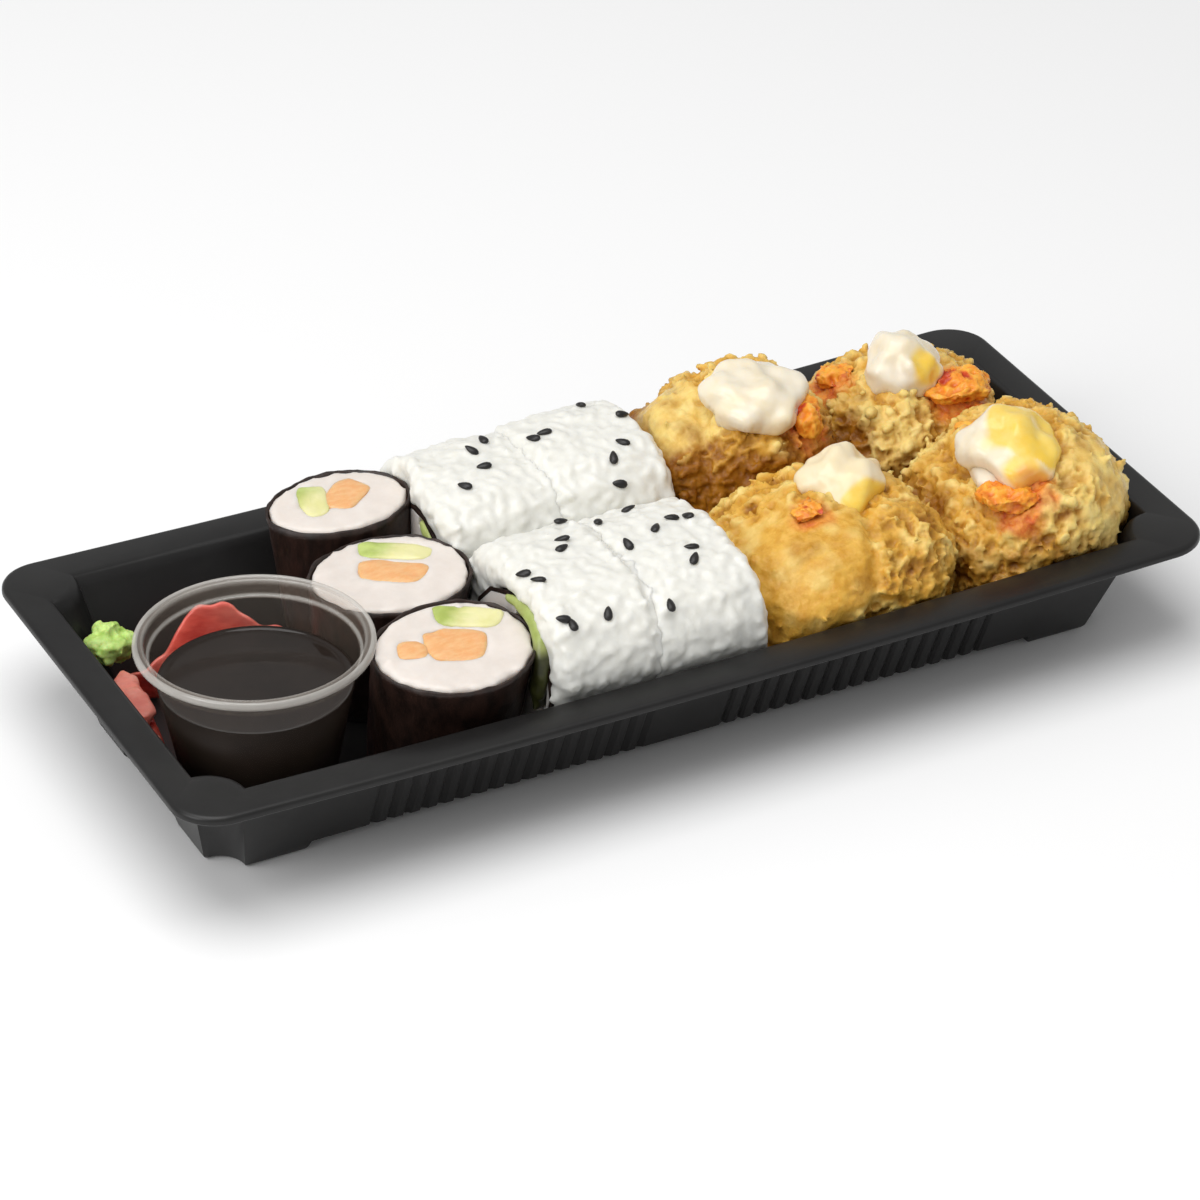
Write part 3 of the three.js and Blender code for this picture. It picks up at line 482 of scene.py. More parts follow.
def lumps(points, size, seed=0):
    """Smooth random heights from -1 to 1, with lumps of a size in mm."""
    cell = np.asarray(points, float) / size + seed * 17.31 + 1000
    corner = np.floor(cell).astype(np.int64)
    part = cell - corner
    part = part * part * (3 - 2 * part)
    total = np.zeros(len(cell))
    for step in itertools.product((0, 1), repeat=3):
        key = (corner + step) * (73856093, 19349663, 83492791)
        mixed = (key[:, 0] ^ key[:, 1] ^ key[:, 2]) & 0x7FFFFFFF
        mixed = ((mixed ^ (mixed >> 15)) * 0x2C1B3C6D) & 0x7FFFFFFF
        mixed = ((mixed ^ (mixed >> 12)) * 0x297A2D39) & 0x7FFFFFFF
        weight = np.prod(np.where(np.array(step), part, 1 - part), axis=1)
        total += (mixed / 0x3FFFFFFF - 1) * weight
    return total


def inside_tray(points, margin):
    """Soft food takes the slope of the cavity that it is pushed against."""
    points[:, 2] = np.maximum(points[:, 2], FOOD_FLOOR)
    up = rise(points[:, 2])
    fillet = np.maximum(0, FLOOR_TOP + FLOOR_FILLET - points[:, 2]) + GAP + margin
    limit = np.column_stack([
        lerp(FLOOR_LENGTH, OPENING_LENGTH, up) / 2 - fillet,
        lerp(FLOOR_WIDTH, OPENING_WIDTH, np.minimum(up, 1)) / 2 - fillet])
    points[:, :2] = np.clip(points[:, :2], -limit, limit)
    corner = np.sign(points[:, :2]) * limit
    away = points[:, :2] - corner
    length = np.maximum(np.linalg.norm(away, axis=1), 1e-6)
    bulge = OPENING_BULGE + WALL + margin
    pushed = corner + away / length[:, None] * bulge
    points[:, :2] = np.where((length < bulge)[:, None], pushed, points[:, :2])
    return points


def beside_cup(points, margin):
    """Soft food gives way to the cup."""
    height = points[:, 2] - FOOD_FLOOR
    wall = np.where(height < LEDGE_HEIGHT, cup_radius(height) + CUP_WALL,
                    CUP_LEDGE_RADIUS + CUP_STEP) + GAP + margin
    away = points[:, :2] - (CUP_X, CUP_Y)
    length = np.linalg.norm(away, axis=1)
    pushed = (CUP_X, CUP_Y) + away / length[:, None] * wall[:, None]
    points[:, :2] = np.where((length < wall)[:, None], pushed, points[:, :2])
    return points


def unit(vectors):
    return vectors / np.linalg.norm(vectors, axis=-1, keepdims=True)


def moved_out(points, normals, reach):
    """Points moved along their normals, each by its own reach."""
    return points + normals * np.asarray(reach)[..., None]


def maki_points(roll, face, share, margin, lift=0):
    """Points of the cut face, carried down the leaning roll to a share of its height."""
    face = np.asarray(face, float)
    height = roll["top"][2] + roll["tilt"] * face[:, 1] - FOOD_FLOOR
    width = [lerp(roll["foot_half"][i] / roll["top_half"][i], 1, share) for i in (0, 1)]
    middle = [lerp(roll["foot"][i], roll["top"][i], share) for i in (0, 1)]
    points = np.column_stack([middle[0] + face[:, 0] * width[0],
                              middle[1] + face[:, 1] * width[1],
                              FOOD_FLOOR + share * height + lift])
    return beside_cup(inside_tray(points, margin), margin)


def out_of_round(roll, angle):
    """How far the roll's outline swells or sinks from an ellipse, as a share of its radius."""
    half_x, half_y = roll["top_half"]
    return 1 + 0.012 * np.sin(2 * angle + half_y) + 0.01 * np.sin(3 * angle + half_x)


def face_outline(roll, inset):
    half_x, half_y = roll["top_half"]
    angle = full_turn(MAKI_STEPS)
    uneven = out_of_round(roll, angle)
    return np.column_stack([(half_x - inset) * uneven * np.cos(angle),
                            (half_y - inset) * uneven * np.sin(angle)])


nori_finish = new_finish(
    "damp seaweed", (0.036, 0.017, 0.012), (0.011, 0.006, 0.0045),
    dict(Scale=420, Softness=0.22, Stretch=(1, 1, 0.35)),
    dict(Scale=1500, Coarse_Share=0.5, Stretch=(1, 1, 0.4)), (0.5, 0.4),
    Roughness=0.42, Specular_IOR_Level=0.45)

for number, roll in enumerate(MAKI, 1):
    outer = []
    inner = []
    for share in np.linspace(0, 1, NORI_LEVELS):
        ring = maki_points(roll, face_outline(roll, 0), share, 0)
        out = unit(ring[:, :2] - ring[:, :2].mean(0))
        crease = WRINKLE * (lumps(ring * (1, 1, 0.3), 2.6, number)
                            + 0.6 * lumps(ring * (1, 1, 0.5), 1.1, number)) - WRINKLE
        ring[:, :2] = moved_out(ring[:, :2], out, np.minimum(crease, 0))
        outer.append(ring)
        inner.append(maki_points(roll, face_outline(roll, NORI), share, NORI))
    for edge_ring in (outer[-1], inner[-1]):
        edge_ring[:, 2] += CUT_UNEVEN * lumps(edge_ring, 2.2, 5 + number)
    rings = outer + inner[::-1]
    solid_piece(f"maki_{number}_seaweed", np.concatenate(rings),
                loft_faces(len(rings), MAKI_STEPS, looped=True), nori_finish,
                [f"maki_{number}_nori"])

# ============================================================================ FILLINGS
# Sticks of raw salmon and ripe avocado laid on the rice before rolling. They run through
# the roll, press against each other, and bulge a hair out of the cut with soft corners.
BAR_LIFT = 0.75
BAR_GROW = 0.85
BAR_STEPS = 40


def bar_outline(filling, grow, scale):
    """A rounded bar on the cut face, a little uneven."""
    _, middle_x, middle_y, half_length, half_width, degrees = filling
    turn = math.radians(degrees)
    angle = full_turn(BAR_STEPS)
    uneven = scale * (1 + 0.05 * np.sin(3 * angle + half_length) + 0.03 * np.sin(5 * angle))
    along = np.abs(np.cos(angle)) ** 0.6 * np.sign(np.cos(angle)) * (half_length + grow) * uneven
    across = np.abs(np.sin(angle)) ** 0.6 * np.sign(np.sin(angle)) * (half_width + grow) * uneven
    return np.column_stack([
        middle_x + along * math.cos(turn) - across * math.sin(turn),
        middle_y + along * math.sin(turn) + across * math.cos(turn)])


salmon_finish = new_finish(
    "raw salmon", (0.86, 0.52, 0.25), (0.82, 0.40, 0.155),
    dict(Scale=420, Softness=0.25, Stretch=(1, 2.2, 0.4)),
    dict(Scale=900, Coarse_Share=0.5, Stretch=(1, 2, 1)), (0.3, 0.3),
    Roughness=0.32, Subsurface_Weight=0.5, Subsurface_Scale=0.0015,
    Subsurface_Radius=(1, 0.5, 0.3))
# The green layer is where the flesh turns green next to the peel, and on the squeezed lip of the
# third roll it is also painted shade; the dark layer is painted shade there, dark green-black, not
# peel.
avocado_finish = new_finish(
    "ripe avocado", (0.84, 0.80, 0.45), (0.76, 0.73, 0.33),
    dict(Scale=170, Softness=0.2), dict(Scale=900, Coarse_Share=0.6), (0.25, 0.3),
    [("rind", (0.55, 0.66, 0.20), (0.38, 0.46, 0.10)),
     ("peel", (0.06, 0.065, 0.014), (0.02, 0.02, 0.008))],
    Roughness=0.35, Subsurface_Weight=0.3, Subsurface_Scale=0.0012,
    Subsurface_Radius=(0.9, 1, 0.4))

for number, roll in enumerate(MAKI, 1):
    for filling in roll["fillings"]:
        kind, middle_x, middle_y = filling[:3]
        rings = []
        for share, scale, lift in ((0, 1, 0), (0.5, 1, 0), (0.9, 1, 0), (1, 1, BAR_LIFT * 0.2),
                                   (1, 0.97, BAR_LIFT * 0.6), (1, 0.88, BAR_LIFT * 0.85),
                                   (1, 0.6, BAR_LIFT), (1, 0.3, BAR_LIFT)):
            grow = BAR_GROW if share == 1 else 0
            ring = maki_points(roll, bar_outline(filling, grow, scale), share, 0, lift)
            if share == 1:
                ring[:, 2] += 0.3 * lumps(ring, 2.4, number)
            rings.append(ring)
        points = np.concatenate(rings)
        green = kind == "avocado"
        piece = solid_piece(f"maki_{number}_{kind}_stick", points,
                            loft_faces(len(rings), BAR_STEPS),
                            avocado_finish if green else salmon_finish,
                            [f"maki_{number}_{kind}"])
        if green:
            across = (points[:, 1] - roll["top"][1] - middle_y) - 0.7 * (
                points[:, 0] - roll["top"][0] - middle_x)
            store(piece, rind=across / 4 + 0.35 * lumps(points, 3, 6),
                  peel=np.zeros(len(points)))

# ============================================================================ RICE
# Short-grain rice, boiled soft and sticky and pressed together until the grains grow into
# one skin: real grains are laid over a core of the same rice and merged with it.
GRAIN_LENGTH = 5.2
GRAIN_WIDTH = 2.7
GRAIN_SPACING = 2.05
GRAIN_SUNK = 0.68
GRAIN_TILT = 0.13
GRAIN_RINGS = 5
GRAIN_SIDES = 8
CORE_VOXEL = 0.9
RICE_VOXEL = 0.55
FACE_VOXEL = 0.75
RICE_SMOOTHING = 2
# One seeded source of chance for all that is scattered.
draw = np.random.default_rng(41)

# Its one layer is painted shade, not dampness: it greys the rice low on the rolls' sides, where
# shade falls.
rice_finish = new_finish(
    "cooked rice", (0.85, 0.84, 0.785), (0.78, 0.77, 0.71),
    dict(Scale=300, Softness=0.25), dict(Scale=1400, Coarse_Share=0.6), (0.2, 0.25),
    [("damp", (0.60, 0.61, 0.585), (0.50, 0.51, 0.49))],
    Roughness=0.36, Specular_IOR_Level=0.45, Subsurface_Weight=0.6, Subsurface_Scale=0.002,
    Subsurface_Radius=(1, 0.95, 0.85))
maki_rice_finish = new_finish(
    "cooked rice in seaweed", (0.81, 0.745, 0.69), (0.75, 0.68, 0.62),
    dict(Scale=200, Softness=0.25), dict(Scale=1400, Coarse_Share=0.6), (0.2, 0.25),
    Roughness=0.36, Specular_IOR_Level=0.45, Subsurface_Weight=0.6, Subsurface_Scale=0.002,
    Subsurface_Radius=(1, 0.9, 0.8))


def evened(mesh, voxel, smoothing):
    """A closed mesh as even small quads, what overlaps grown together: points in mm,
    normals and faces. It uses the mesh up."""
    work = bpy.data.objects.new("work", mesh)
    bpy.context.collection.objects.link(work)
    even = work.modifiers.new("even", "REMESH")
    even.mode = "VOXEL"
    even.voxel_size = voxel * MM
    if smoothing:
        soft = work.modifiers.new("soft", "SMOOTH")
        soft.iterations = smoothing
    bpy.context.view_layer.update()
    result = bpy.data.meshes.new_from_object(
        work.evaluated_get(bpy.context.evaluated_depsgraph_get()))
    bpy.data.objects.remove(work)
    bpy.data.meshes.remove(mesh)
    points = np.empty(len(result.vertices) * 3)
    normals = np.empty(len(result.vertices) * 3)
    result.vertices.foreach_get("co", points)
    result.vertices.foreach_get("normal", normals)
    faces = [tuple(face.vertices) for face in result.polygons]
    bpy.data.meshes.remove(result)
    return points.reshape(-1, 3) / MM, normals.reshape(-1, 3), faces


def remeshed(node, voxel, smoothing=0):
    """A node's solid, evened."""
    return evened(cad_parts[node].data.copy(), voxel, smoothing)


def merged(parts, voxel, smoothing):
    """Closed shapes that overlap, each (points in mm, faces), grown into one skin."""
    starts = np.cumsum([0] + [len(points) for points, _ in parts])
    mesh = bpy.data.meshes.new("merged")
    mesh.from_pydata((np.concatenate([points for points, _ in parts]) * MM).tolist(), [],
                     [tuple(start + i for i in face)
                      for start, (_, faces) in zip(starts.tolist(), parts) for face in faces])
    return evened(mesh, voxel, smoothing)


def scattered(points, normals, faces, spacing):
    """Random places on a surface, at least the spacing apart, with the normals there."""
    triangles = np.array([(f[0], f[i], f[i + 1]) for f in faces for i in range(1, len(f) - 1)])
    a, b, c = (points[triangles[:, i]] for i in range(3))
    area = 0.5 * np.linalg.norm(np.cross(b - a, c - a), axis=1)
    tries = int(area.sum() / spacing ** 2 * 4)
    pick = draw.choice(len(triangles), tries, p=area / area.sum())
    u, v = draw.random(tries), draw.random(tries)
    u, v = np.where(u + v > 1, 1 - u, u), np.where(u + v > 1, 1 - v, v)
    spots = a[pick] + u[:, None] * (b[pick] - a[pick]) + v[:, None] * (c[pick] - a[pick])
    facing = normals[triangles[pick, 0]]
    taken = {}
    kept = []
    for i, cell in enumerate(map(tuple, np.floor(spots / spacing).astype(int))):
        near = (taken.get(tuple(np.add(cell, step)))
                for step in itertools.product((-1, 0, 1), repeat=3))
        if all(other is None or np.sum((spots[i] - other) ** 2) >= spacing ** 2
               for other in near):
            taken[cell] = spots[i]
            kept.append(i)
    return spots[kept], facing[kept]


def lying_frames(normals, tilt):
    """For each normal a turned frame whose third axis stands near the normal."""
    wild = draw.normal(size=normals.shape)
    up = unit(normals + tilt * draw.normal(size=normals.shape))
    along = unit(np.cross(up, wild))
    return np.stack([along, np.cross(up, along), up], axis=1)


def joined_copies(shapes, faces, spots, frames, sizes):
    """One mesh of many copies of some shapes, each turned, sized and placed."""
    chosen = draw.integers(len(shapes), size=len(spots))
    local = np.asarray(shapes)[chosen] * sizes[:, None, :]
    placed = np.einsum("nvi,nij->nvj", local, frames) + spots[:, None, :]
    per_shape = local.shape[1]
    all_faces = [tuple(i + n * per_shape for i in face) for n in range(len(spots))
                 for face in faces]
    return placed.reshape(-1, 3), all_faces


def grain_shape(bend):
    """A grain of length 2 and width 2, blunt at the ends and bent a little sideways."""
    points = []
    for ring in range(GRAIN_RINGS + 1):
        reach = -math.cos(math.pi * (ring + 0.28) / (GRAIN_RINGS + 0.56))
        thick = (1 - abs(reach) ** 2.6) ** 0.5
        for angle in full_turn(GRAIN_SIDES):
            points.append((reach, thick * math.cos(angle) + bend * (reach ** 2 - 0.4),
                           thick * math.sin(angle)))
    return points


GRAIN_SHAPES = [grain_shape(bend) for bend in (-0.16, -0.06, 0.05, 0.14)]
GRAIN_FACES = loft_faces(GRAIN_RINGS + 1, GRAIN_SIDES)


def laid_grains(spots, normals, sunk):
    """Grains pressed into a surface at the spots given."""
    count = len(spots)
    length = GRAIN_LENGTH / 2 * draw.uniform(0.82, 1.1, count)
    width = GRAIN_WIDTH / 2 * draw.uniform(0.88, 1.1, count)
    sizes = np.column_stack([length, width, width * draw.uniform(0.82, 0.95, count)])
    frames = lying_frames(normals, GRAIN_TILT)
    sunk_spots = moved_out(spots, normals, -(sunk + draw.uniform(-0.15, 0.15, count)))
    return joined_copies(GRAIN_SHAPES, GRAIN_FACES, sunk_spots, frames, sizes)


def within_face(roll, points, inset):
    """Points that the seaweed holds back, pressed in to an inset from its outside."""
    middle = np.array(roll["top"][:2])
    half = np.array(roll["top_half"]) - inset
    off = (points[:, :2] - middle) / half
    uneven = out_of_round(roll, np.arctan2(off[:, 1], off[:, 0]))
    reach = np.maximum(np.linalg.norm(off, axis=1) / uneven, 1)
    points[:, :2] = middle + off / reach[:, None] * half
    return beside_cup(inside_tray(points, inset), inset)


# The rice in the maki: the face is cut, so its grains lie level with each other.
FACE_SPACING = 1.9
FACE_STEP = 0.25
FACE_REACH = 20
FACE_SUNK = 0.7
FACE_EDGE = 2
BAR_CLEAR = 1.4
for number, roll in enumerate(MAKI, 1):
    points, normals, faces = remeshed(f"maki_{number}_rice", CORE_VOXEL)
    side = np.arange(-FACE_REACH, FACE_REACH, FACE_STEP)
    grid = np.stack(np.meshgrid(side, side, indexing="ij"), -1).reshape(-1, 2)
    shares = grid / (np.array(roll["top_half"]) - FACE_EDGE)
    free = np.hypot(shares[:, 0], shares[:, 1]) < 1
    for filling in roll["fillings"]:
        _, middle_x, middle_y, half_length, half_width, degrees = filling
        turn = math.radians(degrees)
        off = grid - (middle_x, middle_y)
        along = off[:, 0] * math.cos(turn) + off[:, 1] * math.sin(turn)
        across = off[:, 1] * math.cos(turn) - off[:, 0] * math.sin(turn)
        free &= ((np.abs(along) > half_length + BAR_CLEAR)
                 | (np.abs(across) > half_width + BAR_CLEAR))
    chosen = []
    for spot in draw.permutation(grid[free]):
        if all(np.sum((spot - other) ** 2) > FACE_SPACING ** 2 for other in chosen):
            chosen.append(spot)
    spots = maki_points(roll, np.array(chosen), 1, NORI + GAP)
    upright = np.tile((0.0, 0.0, 1.0), (len(spots), 1))
    grains, grain_faces = laid_grains(spots, upright, FACE_SUNK)
    grains = within_face(roll, grains, NORI + 0.15)
    points, _, faces = merged([(points, faces), (grains, grain_faces)], FACE_VOXEL,
                              RICE_SMOOTHING)
    solid_piece(f"maki_{number}_rice_pressed", points, faces, maki_rice_finish,
                [f"maki_{number}_rice"])

# ============================================================================ RICE ROLLS
# Rolls with the rice outside: pressed grains all round, a seaweed ring inside them with more
# rice and a crescent of avocado in it, and black sesame scattered over the top.

# For each piece: its reach across the tray, its top, for each end the place along the tray at
# the floor and how much the cut leans, and its seeds, each with its share of the length, the
# degrees round the piece and the degrees that the seed is turned.
RICE_ROLLS = [
    dict(y=(4.1, 45), top=44, ends=((-35.2, 0.03), (-8.3, 0)),
         seeds=((0.8, 69, 90), (0.63, 77, 130), (0.61, 97, 170), (0.34, 110, 130))),
    dict(y=(4.1, 45), top=45.4, ends=((-7.7, 0), (21.2, 0)),
         seeds=((0.67, 62, 90), (0.12, 85, 130), (0.22, 84, 170), (0.7, 112, 130),
                (0.55, 122, 70), (0.51, 137, 160), (0.87, 85, 0))),
    dict(y=(-45, 3.6), top=44.8, ends=((-34.8, 0.05), (-13.6, 0.12)),
         seeds=((0.65, 73, 150), (0.58, 80, 20), (0.82, 55, 10), (0.1, 92, 150),
                (0.15, 102, 140), (0.14, 129, 160), (0.2, 133, 90), (0.56, 132, 70))),
    dict(y=(-45, 3.6), top=44, ends=((-13, 0.12), (17.4, 0)),
         seeds=((0.43, 56, 0), (0.08, 63, 50), (0.12, 89, 90), (0.44, 82, 50),
                (0.64, 76, 170), (0.77, 79, 110), (0.57, 105, 170), (0.51, 114, 50),
                (0.11, 135, 80))),
]
ROLL_SQUARENESS = 3.4
ROLL_SMOOTHING = 3
ROLL_SWELL = 0.35
ROLL_SUNK = 0.1
SEED_LENGTH = 3.5
SEED_WIDTH = 1.9
SEED_THICKNESS = 1.2
SEED_PROUD = 0.25
SEED_DROP = 8
SEED_RINGS = 7
SEED_SIDES = 12
SEAM_STEP = 3.6
SEAM_INSET = 1.5
# Painted shade on the rice rolls: below this height the rice is painted grey, fading over this
# height, at most this much.
DAMP_BELOW = 40
DAMP_FADE = 22
DAMP_MOST = 0.9


def roll_point(roll, share, angle, inset):
    """A point at a share of the roll's length and an angle round it."""
    near, far = roll["y"]
    cos, sin = math.cos(angle), math.sin(angle)
    power = ROLL_SQUARENESS
    reach = (abs(cos) ** power + abs(sin) ** power) ** (-1 / power)
    half_width = (far - near) / 2
    half_height = (roll["top"] - FOOD_FLOOR) / 2
    y = near + half_width + cos * reach * (half_width - inset)
    z = FOOD_FLOOR + half_height + sin * reach * (half_height - inset)
    start, end = (x + slant * (z - FOOD_FLOOR) for x, slant in roll["ends"])
    return np.array([lerp(start, end, share), y, z])


landing = []
for number, roll in enumerate(RICE_ROLLS, 1):
    points, normals, faces = remeshed(f"rice_roll_{number}_rice", CORE_VOXEL, ROLL_SMOOTHING)
    middle = np.array([0, sum(roll["y"]) / 2, (roll["top"] + FOOD_FLOOR) / 2])
    spots, facing = scattered(points, normals, faces, GRAIN_SPACING)
    outward = unit((spots - middle) * (0, 1, 1))
    shown = (np.sum(facing * outward, axis=1) > -0.25) & (spots[:, 2] > FOOD_FLOOR + 1)
    spots, facing = spots[shown], facing[shown]
    if number in (1, 3):
        # The next piece of the row stands end to end with this one, and their rice sticks
        # together over the seam.
        after = RICE_ROLLS[number]
        angles = np.radians(np.arange(-20, 200, SEAM_STEP))
        seam = np.array([(roll_point(roll, 1, angle, SEAM_INSET)
                          + roll_point(after, 0, angle, SEAM_INSET)) / 2 for angle in angles])
        seam += draw.uniform(-0.5, 0.5, seam.shape) * (1, 1, 0.5)
        facing = np.concatenate([facing, unit((seam - middle) * (0, 1, 1))])
        spots = np.concatenate([spots, inside_tray(seam, 1)])
    points, normals, faces = merged([(points, faces), laid_grains(spots, facing, GRAIN_SUNK)],
                                    RICE_VOXEL, RICE_SMOOTHING)
    swell = ROLL_SWELL * lumps(points, 5, number) - ROLL_SUNK
    points = inside_tray(moved_out(points, normals, swell), 0)
    landing.append(BVHTree.FromPolygons(points.tolist(), faces))
    piece = solid_piece(f"rice_roll_{number}_rice_pressed", points, faces, rice_finish,
                        [f"rice_roll_{number}_rice"])
    # The rice is painted grey low on the sides: painted shade, not damp rice.
    store(piece, damp=DAMP_MOST * np.clip(
        (DAMP_BELOW - points[:, 2] + 4 * lumps(points, 6, 60 + number)) / DAMP_FADE, 0, 1))

# The third roll is pressed against a seaweed roll, so its avocado is squeezed out in a lip
# between them.
SQUEEZED_ROLL = 3
LIP_PATH = [(-33.2, -19, 38.6), (-32.7, -23, 39.2), (-32.2, -27, 39.1), (-32, -31, 38.2),
            (-32.7, -34.6, 36.4), (-33.6, -37, 33.4), (-34.6, -38.1, 29.5), (-35.2, -38.2, 25)]
LIP_WIDTHS = [0.5, 1.0, 1.4, 1.7, 1.8, 1.8, 1.5, 1.2]
LIP_SIDES = 12
AVOCADO_VOXEL = 0.6
LIP_VOXEL = 0.45
# The third roll's avocado is painted dark green-black as painted shade between the rolls: at least
# this much, more below this height, fading over this height.
PEEL_LEAST = 0.32
PEEL_TOP = 38.6
PEEL_FADE = 4.5
for number in range(1, 5):
    for part, finish in (("nori", nori_finish), ("core_rice", maki_rice_finish)):
        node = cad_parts[f"rice_roll_{number}_{part}"]
        node.data.materials.clear()
        node.data.materials.append(finish)
    squeezed = number == SQUEEZED_ROLL
    points, normals, faces = remeshed(f"rice_roll_{number}_avocado", AVOCADO_VOXEL, 4)
    if squeezed:
        along = np.gradient(np.array(LIP_PATH), axis=0)
        side = unit(np.cross(along, (1, 0, 0)))
        other = unit(np.cross(along, side))
        angles = full_turn(LIP_SIDES)
        lip = np.concatenate([
            place + width * (np.outer(np.cos(angles), across) + np.outer(np.sin(angles), out))
            for place, width, across, out in zip(LIP_PATH, LIP_WIDTHS, side, other)])
        points, normals, faces = merged(
            [(points, faces), (lip, loft_faces(len(LIP_PATH), LIP_SIDES))], LIP_VOXEL, 5)
    points = moved_out(points, normals, 0.2 + 0.25 * lumps(points, 2.6, number))
    piece = solid_piece(f"rice_roll_{number}_avocado_slice", points, faces,
                        avocado_finish, [f"rice_roll_{number}_avocado"])
    # On the third roll the green layer is turned up in full and the dark layer is added: painted
    # shade.
    store(piece, rind=0.65 + 0.35 * squeezed + 0.5 * lumps(points, 5, 20 + number),
          peel=squeezed * np.maximum(
              PEEL_LEAST, (PEEL_TOP - points[:, 2] + lumps(points, 3, 7)) / PEEL_FADE))

# Sesame: flat black seeds, pointed at one end, that lie where they fell on the rice.
sesame_finish = new_finish(
    "black sesame", (0.016, 0.014, 0.013), (0.006, 0.005, 0.005),
    dict(Scale=900, Softness=0.2), dict(Scale=2400, Coarse_Share=0.4), (0.3, 0.15),
    Roughness=0.4, Specular_IOR_Level=0.5)
seed_points = []
seed_faces = []
for roll, ground in zip(RICE_ROLLS, landing):
    for share, degrees, turn in roll["seeds"]:
        angle = math.radians(degrees)
        above = roll_point(roll, share, angle, -SEED_DROP)
        below = roll_point(roll, share, angle, SEED_DROP)
        ahead = roll_point(roll, share, angle + 0.05, -SEED_DROP)
        hit, up, _, _ = ground.ray_cast(Vector(above), Vector(below - above))
        up = np.array(up)
        spot = np.array(hit) + up * SEED_PROUD
        across = unit(ahead - above)
        turned_by = math.radians(turn)
        along = math.cos(turned_by) * np.array((1, 0, 0)) - math.sin(turned_by) * across
        side = unit(np.cross(up, along))
        along = np.cross(side, up)
        shape = []
        for ring in range(SEED_RINGS):
            reach = -math.cos(math.pi * (ring + 0.2) / (SEED_RINGS - 0.6))
            thick = (1 - reach ** 2) ** 0.5 * (1 - 0.32 * reach)
            for around in full_turn(SEED_SIDES):
                shape.append(spot + along * reach * SEED_LENGTH / 2
                             + side * thick * math.cos(around) * SEED_WIDTH / 2
                             + up * thick * math.sin(around) * SEED_THICKNESS / 2)
        base = len(seed_points)
        seed_points += shape
        seed_faces += [tuple(base + i for i in face) for face in loft_faces(SEED_RINGS, SEED_SIDES)]
solid_piece("sesame_seeds", seed_points, seed_faces, sesame_finish)

# ============================================================================ FRIED ROLLS
# Rolls dipped in batter and crumbs and fried until golden, with a crease where two lobes of
# batter met. Some of the crust is smooth skin, the rest is crumbly; all of it shines with oil.
CRUST_BASE_VOXEL = 0.9
CRUST_VOXEL = 0.56
CRUST_MARGIN = -0.25
CRUST_ROUGH = 1.15
SKIN_ROUGH = 0.34
# For each kind of crumb: the spacing, the smallest and largest radius, and its detail.
CRUMBS = [(1.45, 0.4, 0.7, 1), (2.6, 0.7, 1.15, 2)]
CRUMB_KINDS = 8
CRUMB_TILT = 0.9
CRUMBS_ABOVE = 8
# Masks: where it is palest, partly painted highlight on raised crumbs and painted light on one
# shaded side; how brown it is fried, partly painted shade in pits, joins, a crease and low down;
# and where paste has stained it.
crust_finish = new_finish(
    "fried crumb crust", (0.79, 0.46, 0.08), (0.66, 0.33, 0.036),
    dict(Scale=330, Softness=0.18), dict(Scale=1100, Coarse_Share=0.5), (0.8, 0.6),
    [("pale", (0.90, 0.70, 0.26), (0.84, 0.60, 0.17)),
     ("browned", (0.40, 0.16, 0.011), (0.23, 0.075, 0.005)),
     ("stained", (0.84, 0.34, 0.06), (0.62, 0.11, 0.02))],
    Roughness=0.27, Specular_IOR_Level=0.29, Subsurface_Weight=0.2, Subsurface_Scale=0.0012,
    Subsurface_Radius=(1, 0.6, 0.25))

# brown is the height below which the roll is darker brown, over what height that fades, and how
# brown, partly frying and partly painted shade low down; crease is a point of the crease's line
# over the top, the line's slope and its depth.
FRIED = [
    dict(x=(22, 64.6), y=(4.2, 44.6), brown=(39.6, 4, 1.0), crease=(30.1, 10.8, 0.42, 1.7)),
    dict(x=(65.2, 107.6), y=(5, 44.6), brown=(26, 5, 0.6), crease=(88, 8, 0, 0.6)),
    dict(x=(17.9, 67), y=(-44.6, 3.2), brown=(24, 12, 0.5), crease=(47.6, -30.2, 0.34, 1.5)),
    dict(x=(67.6, 112.4), y=(-44.6, 4), brown=(29, 8, 0.6), crease=(76, -30, 0.1, 0.8)),
]
CREASE_WIDTH = 1.7
# Each spot is a place and how far its colour or its smooth skin reaches.
# The second pale spot is painted light on the second roll's near side, which lies in shade.
PALE_SPOTS = [((28, 25, 44), 17), ((77, 7, 34), 15), ((99, -36, 37), 19)]
SMOOTH_SKIN = [((26, 27, 44), 16), ((31, -33, 36), 19), ((104, -34, 36), 14)]
# These brown spots are painted shade: at the joins between rolls, in a crease and low at a corner.
BROWN_SPOTS = [((67, 14, 33), 7), ((76.5, -34, 40), 5), ((70, -22, 33), 6), ((24, -40, 14), 9)]
STAINED_SPOTS = [
    ((54.6, 9.5, 42), 8), ((50.5, 8.5, 47), 4), ((71, 30, 38.5), 8), ((96, 13, 38.4), 10),
    ((100, 7, 35), 6), ((36.8, -25, 42.5), 5.5), ((82, -36, 40.5), 9), ((85.4, -6.7, 41.4), 3.4),
]


def near_spots(points, spots, fade, size):
    """How much each point belongs to the uneven patches round some spots."""
    wander = lumps(points, size, 21)
    share = np.zeros(len(points))
    for place, reach in spots:
        away = np.linalg.norm(points - place, axis=1) + 0.25 * reach * wander
        share = np.maximum(share, np.clip((reach - away) / fade, 0, 1))
    return share


def skin_share(points):
    return near_spots(points, SMOOTH_SKIN, 5, 7)


